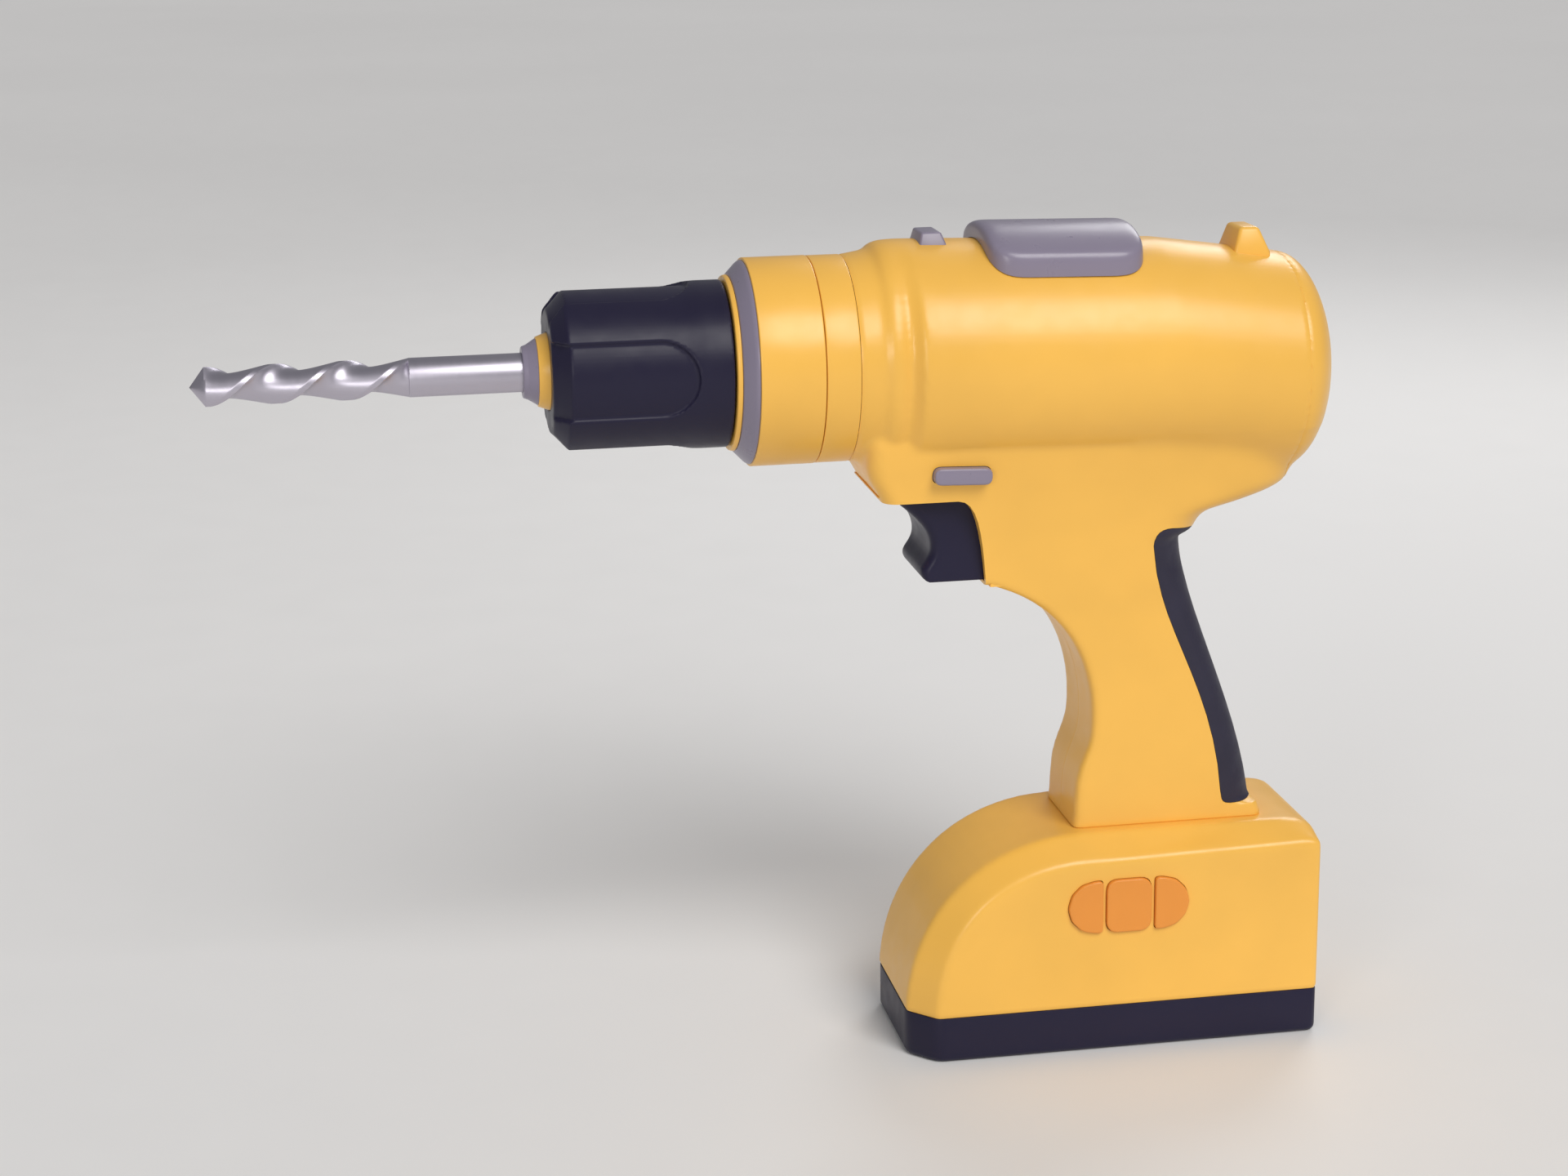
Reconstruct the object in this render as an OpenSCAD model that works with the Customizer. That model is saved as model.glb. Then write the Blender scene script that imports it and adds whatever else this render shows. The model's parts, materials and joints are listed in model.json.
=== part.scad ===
// Toy power drill: pistol-grip body, chuck with a twist bit, battery pack with three buttons.
// Origin at the centre of the battery pack's underside, +Z up, the bit points along -X.
// All sizes are in millimetres.

/* [Body] */
// Height of the spindle axis above the resting face
axis_h = 170; // [169:0.5:171]
// Radius of the main barrel behind the shoulder
barrel_r = 27; // [26.6:0.1:27.4]
// Radius of the rear seam circle
rear_r = 26; // [25.6:0.1:26.4]
// How far the rear seam circle's centre sits below the spindle axis
rear_drop = 5.2; // [4.8:0.1:5.6]
// Depth of the domed rear cap
dome_depth = 10.7; // [9:0.1:12]
// Wall thickness of the moulded housings
wall = 2; // [1.8:0.1:2.2]

/* [Grip] */
// Half width of the grip
grip_half_w = 13; // [12.5:0.1:13.5]
// Half width of the trigger
trigger_half_w = 12.2; // [11.5:0.1:12.3]
// Travel of the trigger
trigger_travel = 5; // [3:0.5:5]

/* [Battery pack] */
// Half length of the pack
pack_half_l = 51.3; // [50.8:0.1:51.8]
// Half width of the pack
pack_half_w = 23; // [22.6:0.1:23.4]
// Height of the dark base cover
cover_h = 11.5; // [11:0.1:12]
// Height of the pack's flat top
pack_top = 54; // [53.6:0.1:54.4]

/* [Front end] */
// Radius of the torque collar
collar_r = 24.2; // [23.8:0.1:24.6]
// Radius of the chuck sleeve at its rear end
chuck_r = 19.4; // [19:0.1:19.8]
// Radius of the twist bit
bit_r = 4.5; // [4:0.1:4.8]
// Length of the fluted part of the bit
flute_l = 46; // [40:1:48]

/* [Gears] */
// Tooth size (module) of every gear
gear_mod = 0.5; // [0.5]
// Teeth on each small gear
small_teeth = 12; // [12]
// Teeth on each large gear
large_teeth = 36; // [36]

/* [Hidden] */
$fn = 64;
soft_fn = 32;

running_gap = 0.05;
slide_gap = 0.25;

// Stations along the X axis, from the bit's tip to the rear
tip_x = -212.3;
shank_x = -162.9;
nose_x = -137.4;
nose_ring_x = -134.2;
chuck_face_x = -131.6;
chuck_rear_x = -90.8;
lip_x = -90.4;
bezel_x = -89.2;
collar_x = -85.7;
seam1_x = -70.5;
seam2_x = -62.7;
neck_x = -62.7;
shoulder_x = -54;
barrel_x = -50;
rear_seam_x = 43;
rear_axis_h = axis_h - rear_drop;
spigot_l = 4;

// Stations inside the gear case
case_front_x = -85.3;
case_step_x = -49;
case_rear_x = -22;
plate_t = 3;
case_nose_r = 20;
spindle_r = 4;
chuck_core_r = 11;

// Gear train
pitch_small = gear_mod * small_teeth / 2;
pitch_large = gear_mod * large_teeth / 2;
gear_cd = pitch_small + pitch_large;
output_gear_x = -44;
input_gear_x = -32.5;
gear_face = 6;

// Motor
motor_r = 12;
motor_x = case_rear_x + plate_t;
motor_l = 32;
motor_shaft_r = 1;

// Gear case: its two chambers, its bearings and the layshaft pin
chamber_r = 12.4;
chamber_wall = 2;
bush_r = 7;
pin_r = 1;
pin_hole_r = 1.03;
plate_boss_r = 3;

// Foot of the grip
foot_z = pack_top;

// Small pieces pegged on top of the barrel
pointer_x = -41.8;
sight_x = 34.6;
peg_r = 1.5;

// Heights of the trigger opening
trigger_top_z = 138;
trigger_bottom_z = 117.6;

// Direction button
dir_x = -38.1;
dir_z = 144.6;
dir_l = 13.6;
dir_h = 4.4;
dir_corner_r = 1.6;
dir_half_w = 20.4;

// The barrel's axis falls slightly from the shoulder to this station
mid_x = 12;
mid_drop = 1.5;
mid_r = barrel_r - 0.1;
barrel_tilt = atan(mid_drop / (mid_x - barrel_x));

// Height above which the lower body is shaped in plan
plan_z = 125.4;

// Screws: places of the housing screws in X and Z, of the gear plate's in Y and Z from the axis,
// and of the base cover's in X and Y
screw_places = [[-53.5, 143.5], [-26, 142.5], [34, 148], [0, 118], [15, 76], [-1.5, 63], [26, 184]];
plate_screws = [[gear_cd / 2, 14.6], [gear_cd / 2, -14.6]];
base_screw_places = [[-42, -13], [-42, 13], [43, -14], [43, 14]];
screw_seat_y = 6;
screw_seat_z = 2.6;
screw_shank_r = 1.25;
pilot_r = 1.3;
clear_r = 1.6;

// Gear teeth
pressure_angle = 20;
backlash = 0.05;
addendum = 0.8 * gear_mod;
dedendum = 1.2 * gear_mod;

// Chuck and spindle
spindle_x = -114;
bit_end_x = -118;
core_x = -130;
panel_half_w = 8.8;
panel_depth = 0.8;
panel_end_x = -98.7;
bezel_hole_r = 14;
tip_l = 3.4;
flute_turn = 560;

// Trigger and its return spring
trigger_rear_x = -31;
spring_z = 128;
spring_l = 9.5;
spring_r = 3;

// Battery pack: its full length runs over this half width
mid_half_w = 16;
side_inset = 6.5;
side_top = pack_top - 5.2;

// Push buttons in the pack's near side, and the pads and board behind them
button_z = 37.4;
button_h = 13.4;
side_button_l = 8.6;
side_button_r = 6.6;
centre_button_l = 11.2;
centre_x = 2.2;
side_gap = 0.9;
button_face_y = -24;
button_travel = 1.2;
flange_y = -20.9;
flange_t = 1;
pad_y = flange_y + flange_t + button_travel + 0.2;
pad_t = 1.1;
board_y = pad_y + pad_t;

// Battery cells
cell_r = 7.2;
cell_l = 50;
cell_x = -26.4;
cell_places = [[-7.4, 9.6], [7.6, 9.6], [0.2, 22.8]];

// Top selector block
sel_x = -13;
sel_l = 37;
sel_half_w = 18.6;
sel_rise = 4.2;
sel_travel = 4;
sel_corner_r = 6;
stem_l = 8;
stem_w = 7;

// Points on a cubic curve from a to d, pulled towards b and c
function curve(a, b, c, d, n = 10) = [for (i = [0:n])
    let (t = i / n, s = 1 - t)
    s * s * s * a + 3 * s * s * t * b + 3 * s * t * t * c + t * t * t * d];

// A solid of revolution about the spindle axis from [x, r] points
module turned(points, h = axis_h) {
    translate([0, 0, h])
        rotate([0, 90, 0])
            rotate_extrude()
                polygon([for (p = points) [p[1], p[0]]]);
}

// A tube along X
module tube_x(x0, x1, r_out, r_in, h = axis_h) {
    turned([[x0, r_in], [x1, r_in], [x1, r_out], [x0, r_out]], h);
}

// A round bar along X
module bar_x(x0, x1, r, y = 0, h = axis_h) {
    translate([x0, y, h])
        rotate([0, 90, 0])
            cylinder(r = r, h = x1 - x0);
}

// A round bar along Y
module bar_y(y0, y1, r, x, h) {
    translate([x, y1, h])
        rotate([90, 0, 0])
            cylinder(r = r, h = y1 - y0);
}

// A side outline, drawn in X and Z, given a thickness across Y
module across(y0, y1) {
    translate([0, y1, 0])
        rotate([90, 0, 0])
            linear_extrude(y1 - y0)
                children();
}

// A front outline, drawn in Y and Z, given a thickness along X
module along(x0, x1) {
    translate([x0, 0, 0])
        rotate([90, 0, 90])
            linear_extrude(x1 - x0)
                children();
}

// ---- Housing ----

// Front edge of the grip, from the trigger's underside down to the foot
grip_front = concat(
    curve([-31.3, trigger_bottom_z - 1], [-16, 112.5], [-4, 101], [-4.3, 80]),
    curve([-4.3, 80], [-4.3, 72], [-8.2, 71], [-8.4, 61], 8),
    [[-8.9, foot_z]]);

// Edge where the soft grip insert meets the housing, from its top down
insert_edge = concat(
    curve([9.4, 127], [9.4, 105], [25.5, 90], [27.9, 61], 12),
    [[29.2, 58], [38.5, 57.6]]);

// Rear of the grip
grip_rear = curve([37.4, 58.5], [34, 82], [19, 108], [18, 127.5], 12);

// Underside of the barrel, behind the grip
underside = concat([[19.5, 126.2]], curve([21.4, 127], [23, 132], [31, 132], [41, 137.5]));

// Side outline of everything below the barrel, with the grip insert's space left out
module lower_outline() {
    polygon(concat(
        [[-60, 146.5], [-59, 142.6], [-56.5, 139.6], [-53.4, trigger_top_z], [-38.6, trigger_top_z]],
        curve([-38.6, trigger_top_z], [-34, trigger_top_z], [-32.5, 130], [-31.3, trigger_bottom_z], 6),
        grip_front,
        [[38.9, foot_z], [38.5, 57.6]],
        [for (i = [len(insert_edge) - 2:-1:0]) insert_edge[i]],
        [[9.6, 128.5], [18.5, 128]],
        underside,
        [[41, 160], [-60, 160]]));
}

// Half widths of the lower body at a list of heights, less an inset
function lower_widths(inset) = [
    [grip_half_w - inset, foot_z - 1], [grip_half_w - inset, 108], [14 - inset, 118],
    [15.4 - inset, 128], [17.6 - inset, 137], [20.4 - inset, 146], [22 - inset, 152],
    [22.5 - inset, 162]];

// Front outline of the lower body
module lower_front(inset) {
    right = lower_widths(inset);
    polygon(concat(right, [for (i = [len(right) - 1:-1:0]) [-right[i][0], right[i][1]]]));
}

// Lower body as a solid, taken in by an inset on every side
module lower_body(inset) {
    intersection() {
        across(-30, 30)
            offset(delta = -inset)
                lower_outline();
        along(-65, 50)
            lower_front(inset);
        union() {
            translate([0, 0, plan_z])
                linear_extrude(60)
                    lower_plan(inset);
            translate([-40, -30, foot_z - 5])
                cube([90, 60, plan_z - foot_z + 5]);
        }
    }
}

// Barrel as a solid, taken in by an inset all round
module barrel_body(inset) {
    hull() {
        bar_x(barrel_x, barrel_x + 0.1, barrel_r - inset);
        bar_x(mid_x, mid_x + 0.1, mid_r - inset, h = axis_h - mid_drop);
        bar_x(rear_seam_x - 0.1, rear_seam_x, rear_r - inset, h = rear_axis_h);
    }
}

// Neck and shoulder in front of the barrel
module neck_body() {
    turned([[neck_x, 0], [neck_x, 24], [shoulder_x - 1.5, 24.6], [shoulder_x, 26],
        [barrel_x + 0.1, barrel_r], [barrel_x + 0.1, 0]]);
}

// Seen from above, the lower body is narrow at the nose and closes in under the rear cap
module lower_plan(inset) {
    offset(delta = -inset)
        polygon([[-60.5, -9], [-60.5, 9], [-57, 14], [-50, 20], [-44, 23], [2, 23], [14, 15],
            [26, 9], [41, 4], [41, -4], [26, -9], [14, -15], [2, -23], [-44, -23], [-50, -20],
            [-57, -14]]);
}

// Places a shape that is drawn about the selector's middle on the barrel's falling axis
module on_barrel() {
    translate([barrel_x, 0, axis_h])
        rotate([0, barrel_tilt, 0])
            translate([sel_x - barrel_x, 0, 0])
                children();
}

// Slot that the selector's stem moves in
module selector_slot() {
    on_barrel()
        translate([-stem_l / 2 - slide_gap, -stem_w / 2 - slide_gap, 15])
            cube([stem_l + sel_travel + 2 * slide_gap, stem_w + 2 * slide_gap, 20]);
}

// Slanted outline of the direction button, with rounded corners
module direction_outline(grow = 0) {
    translate([dir_x, dir_z])
        rotate(-2)
            offset(r = dir_corner_r + grow, $fn = soft_fn)
                square([dir_l - 2 * dir_corner_r, dir_h - 2 * dir_corner_r], center = true);
}

// Holes that the two small pieces on top of the barrel are pegged into
module peg_holes() {
    for (x = [pointer_x, sight_x])
        translate([x, 0, axis_h + 10])
            cylinder(r = peg_r + running_gap, h = 20);
}

// Outer shape of both housings together
module housing_outer() {
    barrel_body(0);
    neck_body();
    lower_body(0);
}

// Room inside both housings together
module housing_inner() {
    barrel_body(wall);
    lower_body(wall);
    bar_x(neck_x - 1, barrel_x + 1, 22);
    // the open rear end, closed by the rear cap
    bar_x(rear_seam_x - spigot_l - 0.2, rear_seam_x + 1, rear_r - wall, h = rear_axis_h);
}

// Both housings together, as one hollow shell with its openings
module housing_shell() {
    difference() {
        housing_outer();
        housing_inner();
        selector_slot();
        peg_holes();
        across(-30, 30)
            direction_outline(slide_gap);
        trigger_room();
        wire_way();
    }
    cradle_ribs();
}

// Way for the wires from the grip down into the battery pack
module wire_way() {
    translate([6, -7, foot_z - 3])
        cube([14, 14, 8]);
}

// Rings inside the housings that hold the gear case and the motor
module cradle_ribs() {
    tube_x(-61.5, -58.5, 22.6, case_nose_r + running_gap);
    for (x = [-12, 6])
        difference() {
            intersection() {
                tube_x(x, x + 2, barrel_r - 1.2, motor_r + running_gap);
                barrel_body(1);
            }
            selector_slot();
        }
}

// Room for the trigger behind its opening
module trigger_room() {
    across(-trigger_half_w - slide_gap, trigger_half_w + slide_gap)
        polygon([[-56, trigger_top_z + 0.3], [-56, trigger_bottom_z - 0.3],
            [trigger_rear_x + trigger_travel, trigger_bottom_z - 0.3],
            [trigger_rear_x + trigger_travel, trigger_top_z + 0.3]]);
}

// Screw bosses of one side: posts from the wall to the split, bored later
module bosses(side, boss_r) {
    intersection() {
        for (p = screw_places)
            bar_y(side < 0 ? -24 : 0, side < 0 ? 0 : 24, boss_r, p[0], p[1]);
        housing_outer_plain();
    }
}

// Outer shape used to trim the screw bosses
module housing_outer_plain() {
    union() {
        bar_x(neck_x + 1, 20, barrel_r - wall / 2);
        lower_body(wall / 2);
        bar_x(20, rear_seam_x - 0.5, rear_r - wall / 2, h = rear_axis_h);
    }
}

module housing_left() {
    color("gold")
        difference() {
            union() {
                intersection() {
                    housing_shell();
                    translate([-100, -40, 0])
                        cube([200, 40, 220]);
                }
                bosses(-1, 3);
            }
            for (p = screw_places)
                bar_y(-9, 1, pilot_r, p[0], p[1]);
        }
}

module housing_right() {
    color("gold")
        difference() {
            union() {
                intersection() {
                    housing_shell();
                    translate([-100, 0, 0])
                        cube([200, 40, 220]);
                }
                bosses(1, 4.2);
            }
            for (p = screw_places) {
                bar_y(screw_seat_y, 40, 2.9, p[0], p[1]);
                bar_y(-1, screw_seat_y + 1, clear_r, p[0], p[1]);
            }
        }
}

// Domed profile from the rear seam back, as [x, r] points
function dome(r, d, n = 12) = [for (i = [0:n]) [rear_seam_x + d * sin(90 * i / n), r * cos(90 * i / n)]];

module rear_cap() {
    color("gold")
        union() {
            difference() {
                turned(concat([[rear_seam_x, 0]], dome(rear_r, dome_depth)), rear_axis_h);
                turned(concat([[rear_seam_x - 1, 0], [rear_seam_x - 1, rear_r - wall]],
                    dome(rear_r - wall, dome_depth - wall)), rear_axis_h);
            }
            // spigot that snaps into the housings
            tube_x(rear_seam_x - spigot_l, rear_seam_x + 2, rear_r - wall - 0.1, rear_r - 2 * wall,
                rear_axis_h);
        }
}

// Soft insert down the back of the grip, rounded in steps across its rear
module grip_insert() {
    color("darkslateblue")
        for (step = [[grip_half_w - 0.4, 3.6], [10.4, 1.4], [7.6, 0.4], [4.5, 0]])
            across(-step[0], step[0])
                polygon(concat(insert_edge, [for (p = grip_rear) [p[0] - step[1], p[1]]],
                    [[9.6, 128.5]]));
}

// A small tapered piece pegged into the top of the barrel
module pegged_fin(x, base_l, top_l, base_w, top_w, top_z, lean) {
    difference() {
        intersection() {
            across(-base_w, base_w)
                polygon([[x - base_l / 2, top_z - 12], [x + base_l / 2, top_z - 12],
                    [x + base_l / 2, top_z - 6], [x + lean + top_l / 2, top_z],
                    [x + lean - top_l / 2, top_z], [x - base_l / 2, top_z - 6]]);
            along(x - base_l, x + base_l)
                polygon([[-base_w, top_z - 12], [base_w, top_z - 12], [base_w, top_z - 6],
                    [top_w, top_z], [-top_w, top_z], [-base_w, top_z - 6]]);
        }
        barrel_body(0);
    }
    translate([x, 0, top_z - 7])
        cylinder(r = peg_r, h = 6);
}

module front_pointer() {
    color("slategray")
        pegged_fin(pointer_x, 8.4, 4.6, 6.6, 4.6, 199.2, -0.5);
}

module rear_sight() {
    color("gold")
        pegged_fin(sight_x, 9, 4.6, 6.6, 5, 197.6, -0.4);
}

// ---- Front end, fixed ----

module middle_ring() {
    color("gold")
        tube_x(seam1_x, seam2_x, collar_r - 0.1, case_nose_r + 0.02);
}

// Outline of the gear chamber: one lobe for the spindle, one for the layshaft
module chamber(x0, x1, r) {
    bar_x(x0, x1, r);
    bar_x(x0, x1, r, gear_cd);
    translate([x0, 0, axis_h - r])
        cube([x1 - x0, gear_cd, 2 * r]);
}

module gear_case() {
    color("silver")
        difference() {
            union() {
                bar_x(case_front_x, case_step_x, case_nose_r);
                chamber(case_step_x, case_rear_x, chamber_r);
                for (p = plate_screws)
                    bar_x(case_rear_x - 12, case_rear_x, plate_boss_r, p[0], axis_h + p[1]);
            }
            bar_x(case_front_x + 3, case_step_x, case_nose_r - 2);
            chamber(case_step_x + 3, case_rear_x + 1, chamber_r - chamber_wall);
            bar_x(case_front_x - 1, case_front_x + 4, bush_r + 0.02);
            bar_x(case_step_x - 1, case_step_x + 4, bush_r + 0.02);
            bar_x(case_step_x - 1, case_step_x + 4, pin_hole_r, gear_cd);
            for (p = plate_screws)
                bar_x(case_rear_x - 9, case_rear_x + 1, pilot_r, p[0], axis_h + p[1]);
        }
}

module gear_plate() {
    color("silver")
        difference() {
            union() {
                chamber(case_rear_x, case_rear_x + plate_t, chamber_r);
                for (p = plate_screws)
                    bar_x(case_rear_x, case_rear_x + plate_t, plate_boss_r, p[0], axis_h + p[1]);
            }
            bar_x(case_rear_x - 1, case_rear_x + plate_t + 1, 4);
            bar_x(case_rear_x - 1, case_rear_x + plate_t + 1, pin_hole_r, gear_cd);
            for (p = plate_screws)
                bar_x(case_rear_x - 1, case_rear_x + plate_t + 1, clear_r, p[0], axis_h + p[1]);
            for (s = [-1, 1])
                bar_x(case_rear_x - 1, case_rear_x + plate_t + 1, 1.1, 0, axis_h + 8 * s);
        }
}

// A flanged bearing bush on the spindle
module bush(x0, l) {
    turned([[x0, spindle_r + running_gap], [x0 + l, spindle_r + running_gap], [x0 + l, bush_r],
        [x0, bush_r]]);
}

module front_bush() {
    color("goldenrod")
        bush(case_front_x, 3);
}

module rear_bush() {
    color("goldenrod")
        bush(case_step_x, 3);
}

module layshaft_pin() {
    color("silver")
        bar_x(case_step_x + 0.2, case_rear_x + plate_t - 0.2, pin_r, gear_cd);
}

// ---- Screws ----

// A pan-head screw along +X, its head's seat at x = 0
module screw(head_r, head_h, shank_r, shank_l) {
    rotate([0, -90, 0])
        cylinder(r = head_r, h = head_h);
    rotate([0, 90, 0])
        cylinder(r = shank_r, h = shank_l);
}

module housing_screws() {
    color("silver")
        for (p = screw_places)
            translate([p[0], screw_seat_y, p[1]])
                rotate([0, 0, -90])
                    screw(2.7, 1.8, screw_shank_r, 14);
}

module gear_plate_screws() {
    color("silver")
        for (p = plate_screws)
            translate([case_rear_x + plate_t, p[0], axis_h + p[1]])
                rotate([0, 0, 180])
                    screw(2.6, 1.6, screw_shank_r, 11);
}

module motor_screws() {
    color("silver")
        for (s = [-1, 1])
            translate([case_rear_x, 0, axis_h + 8 * s])
                screw(2, 1.2, 0.95, 6);
}

module base_screws() {
    color("silver")
        for (p = base_screw_places)
            translate([p[0], p[1], screw_seat_z])
                rotate([0, -90, 0])
                    screw(2.7, 1.6, screw_shank_r, 13);
}

// ---- Motor ----

module motor_can() {
    color("silver")
        difference() {
            bar_x(motor_x, motor_x + motor_l, motor_r);
            bar_x(motor_x + 1, motor_x + motor_l + 1, motor_r - 0.8);
            bar_x(motor_x - 1, motor_x + 2, 2.5);
            for (s = [-1, 1])
                bar_x(motor_x - 1, motor_x + 2, 1, 0, axis_h + 8 * s);
        }
}

module motor_end_cap() {
    color("ivory")
        difference() {
            union() {
                bar_x(motor_x + motor_l, motor_x + motor_l + 3, motor_r);
                bar_x(motor_x + motor_l - 3, motor_x + motor_l, motor_r - 0.85);
            }
            bar_x(motor_x + motor_l - 4, motor_x + motor_l + 4, motor_shaft_r + running_gap);
            bar_x(motor_x + motor_l - 4, motor_x + motor_l - 1, 8);
        }
}

module motor_shaft() {
    color("silver")
        bar_x(input_gear_x - 0.5, motor_x + motor_l + 2.5, motor_shaft_r);
}

module armature() {
    color("peru")
        for (k = [0:2])
            difference() {
                intersection() {
                    bar_x(motor_x + 7, motor_x + 24, 9.5);
                    translate([motor_x + 5, 0, axis_h])
                        rotate([k * 120, 0, 0])
                            translate([0, -2.6, 0])
                                cube([20, 5.2, 12]);
                }
                bar_x(motor_x, motor_x + motor_l, 3.1);
            }
    color("peru")
        tube_x(motor_x + 7, motor_x + 27, 3.1, motor_shaft_r);
}

// ---- Gears ----

// Involute function, in degrees
function involute(a) = tan(a) * 180 / PI - a;

// Half angle of a tooth at radius r
function half_tooth(r, teeth) =
    let (pitch_r = gear_mod * teeth / 2, base_r = pitch_r * cos(pressure_angle))
    90 / teeth - backlash / pitch_r * 180 / PI + involute(pressure_angle)
        - involute(acos(min(1, base_r / r)));

// One flank's radii, from root to tip
function flank(teeth, n = 3) =
    let (pitch_r = gear_mod * teeth / 2, root_r = pitch_r - dedendum, tip_r = pitch_r + addendum,
        start_r = max(root_r + 0.05, pitch_r * cos(pressure_angle)))
    concat([root_r], [for (i = [0:n]) start_r + (tip_r - start_r) * i / n]);

// Outline of a spur gear, with one tooth centred on angle 0
function gear_points(teeth) =
    let (radii = flank(teeth), n = len(radii))
    [for (k = [0:teeth - 1], side = [-1, 1], i = [0:n - 1])
        let (r = side < 0 ? radii[i] : radii[n - 1 - i],
            a = 360 * k / teeth + side * half_tooth(r, teeth))
        [r * cos(a), r * sin(a)]];

// A spur gear on an axis along X, with a bore
module gear(teeth, x0, face, bore_r, y = 0, phase = 0) {
    difference() {
        translate([x0, y, axis_h])
            rotate([0, 90, 0])
                rotate(phase)
                    linear_extrude(face)
                        polygon(gear_points(teeth));
        bar_x(x0 - 1, x0 + face + 1, bore_r, y);
    }
}

module output_gear() {
    color("ivory")
        gear(large_teeth, output_gear_x, gear_face, spindle_r + 0.02);
}

module motor_pinion() {
    color("ivory")
        gear(small_teeth, input_gear_x, gear_face, motor_shaft_r);
}

// Large gear and small pinion moulded as one piece, turning on the layshaft pin
module compound_gear() {
    color("ivory")
        difference() {
            union() {
                gear(large_teeth, input_gear_x, gear_face, 0.9, gear_cd, 180 / large_teeth);
                gear(small_teeth, output_gear_x, gear_face, 0.9, gear_cd, 180 / small_teeth);
                bar_x(output_gear_x + gear_face - 0.1, input_gear_x + 0.1, 2.3, gear_cd);
            }
            bar_x(output_gear_x - 1, input_gear_x + gear_face + 1, pin_r + running_gap, gear_cd);
        }
}

// ---- Spindle, chuck and bit ----

module spindle_shaft() {
    color("silver")
        bar_x(spindle_x, output_gear_x + gear_face + 1, spindle_r);
}

module shaft_clip() {
    color("silver")
        tube_x(case_front_x + 3.2, case_front_x + 4.4, 6.6, spindle_r + 0.02);
}

module chuck_core() {
    color("dimgray")
        difference() {
            bar_x(core_x, chuck_rear_x - 1, chuck_core_r);
            bar_x(core_x - 1, bit_end_x, bit_r + 0.02);
            bar_x(spindle_x, chuck_rear_x + 1, spindle_r + 0.02);
        }
}

// One sunk grip panel, open at the chuck's face and rounded at its rear end
module panel_cut(turn) {
    translate([0, 0, axis_h])
        rotate([turn, 0, 0])
            intersection() {
                tube_x(chuck_face_x - 1, panel_end_x + 1, chuck_r + 5, chuck_r - 0.4 - panel_depth, 0);
                union() {
                    translate([chuck_face_x - 1, -panel_half_w, 10])
                        cube([panel_end_x - panel_half_w - chuck_face_x + 1, 2 * panel_half_w, 20]);
                    translate([panel_end_x - panel_half_w, 0, 10])
                        cylinder(r = panel_half_w, h = 20);
                }
            }
}

module chuck_sleeve() {
    color("midnightblue")
        difference() {
            turned([[chuck_face_x, 9], [chuck_face_x, 15.6], [-128.1, chuck_r - 0.4], [-104, chuck_r - 0.3],
                [-97, chuck_r], [chuck_rear_x, chuck_r], [chuck_rear_x, chuck_core_r + 0.02],
                [core_x, chuck_core_r + 0.02], [core_x, 9]]);
            for (k = [0:3])
                panel_cut(k * 90);
        }
}

module chuck_nose() {
    color("slategray")
        turned([[nose_x, bit_r + 0.02], [nose_x, 5.8], [nose_x + 0.3, 6.2], [nose_ring_x, 7.8],
            [nose_ring_x, 6.4], [core_x - 0.01, 6.4], [core_x - 0.01, bit_r + 0.02]]);
}

module nose_ring() {
    color("gold")
        turned([[nose_ring_x + 0.01, 6.42], [nose_ring_x + 0.01, 8], [nose_ring_x + 0.6, 8.6],
            [chuck_face_x - 0.01, 8.9], [chuck_face_x - 0.01, 8.9], [core_x - 0.3, 8.9],
            [core_x - 0.3, 6.42]]);
}

// Cross-section of the fluted bit: a round bar with two rounded grooves
module flute_section() {
    difference() {
        circle(r = bit_r, $fn = 32);
        for (s = [-1, 1])
            translate([0, s * bit_r * 0.98])
                scale([1, 0.62])
                    circle(r = bit_r * 0.72, $fn = 20);
    }
}

module drill_bit() {
    color("silver") {
        // round shank
        bar_x(shank_x, bit_end_x, bit_r);
        // fluted length, cut to a point
        intersection() {
            translate([shank_x, 0, axis_h])
                rotate([0, -90, 0])
                    linear_extrude(flute_l + tip_l, twist = flute_turn, slices = 60, $fn = 24)
                        flute_section();
            turned([[tip_x, 0], [tip_x + tip_l, bit_r + 0.1], [shank_x, bit_r + 0.1], [shank_x, 0]]);
        }
    }
}

// ---- Torque collar ----

module clutch_collar() {
    color("gold")
        turned([[collar_x, case_nose_r + running_gap], [collar_x, collar_r - 0.4],
            [collar_x + 0.4, collar_r], [seam1_x - 0.7, collar_r], [seam1_x - 0.3, collar_r - 0.4],
            [seam1_x - 0.3, case_nose_r + running_gap]]);
}

module collar_bezel() {
    color("slategray")
        turned([[bezel_x, bezel_hole_r], [bezel_x, 20.6], [collar_x - 0.01, 23.6],
            [collar_x - 0.01, bezel_hole_r]]);
}

module collar_lip() {
    color("gold")
        turned([[lip_x, bezel_hole_r], [lip_x, 20], [lip_x + 0.3, 20.4], [bezel_x - 0.01, 20.5],
            [bezel_x - 0.01, bezel_hole_r]]);
}

// ---- Trigger ----

// Side outline of the trigger, with its finger groove
module trigger_outline() {
    polygon(concat(
        [[trigger_rear_x, trigger_bottom_z], [-44.6, trigger_bottom_z]],
        curve([-45.6, trigger_bottom_z + 0.6], [-48, 121.4], [-43.3, 122], [-43.9, 126.6], 8),
        curve([-43.9, 126.6], [-44.3, 131], [-49, 134.6], [-53.2, trigger_top_z], 8),
        [[trigger_rear_x, trigger_top_z]]));
}

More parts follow.
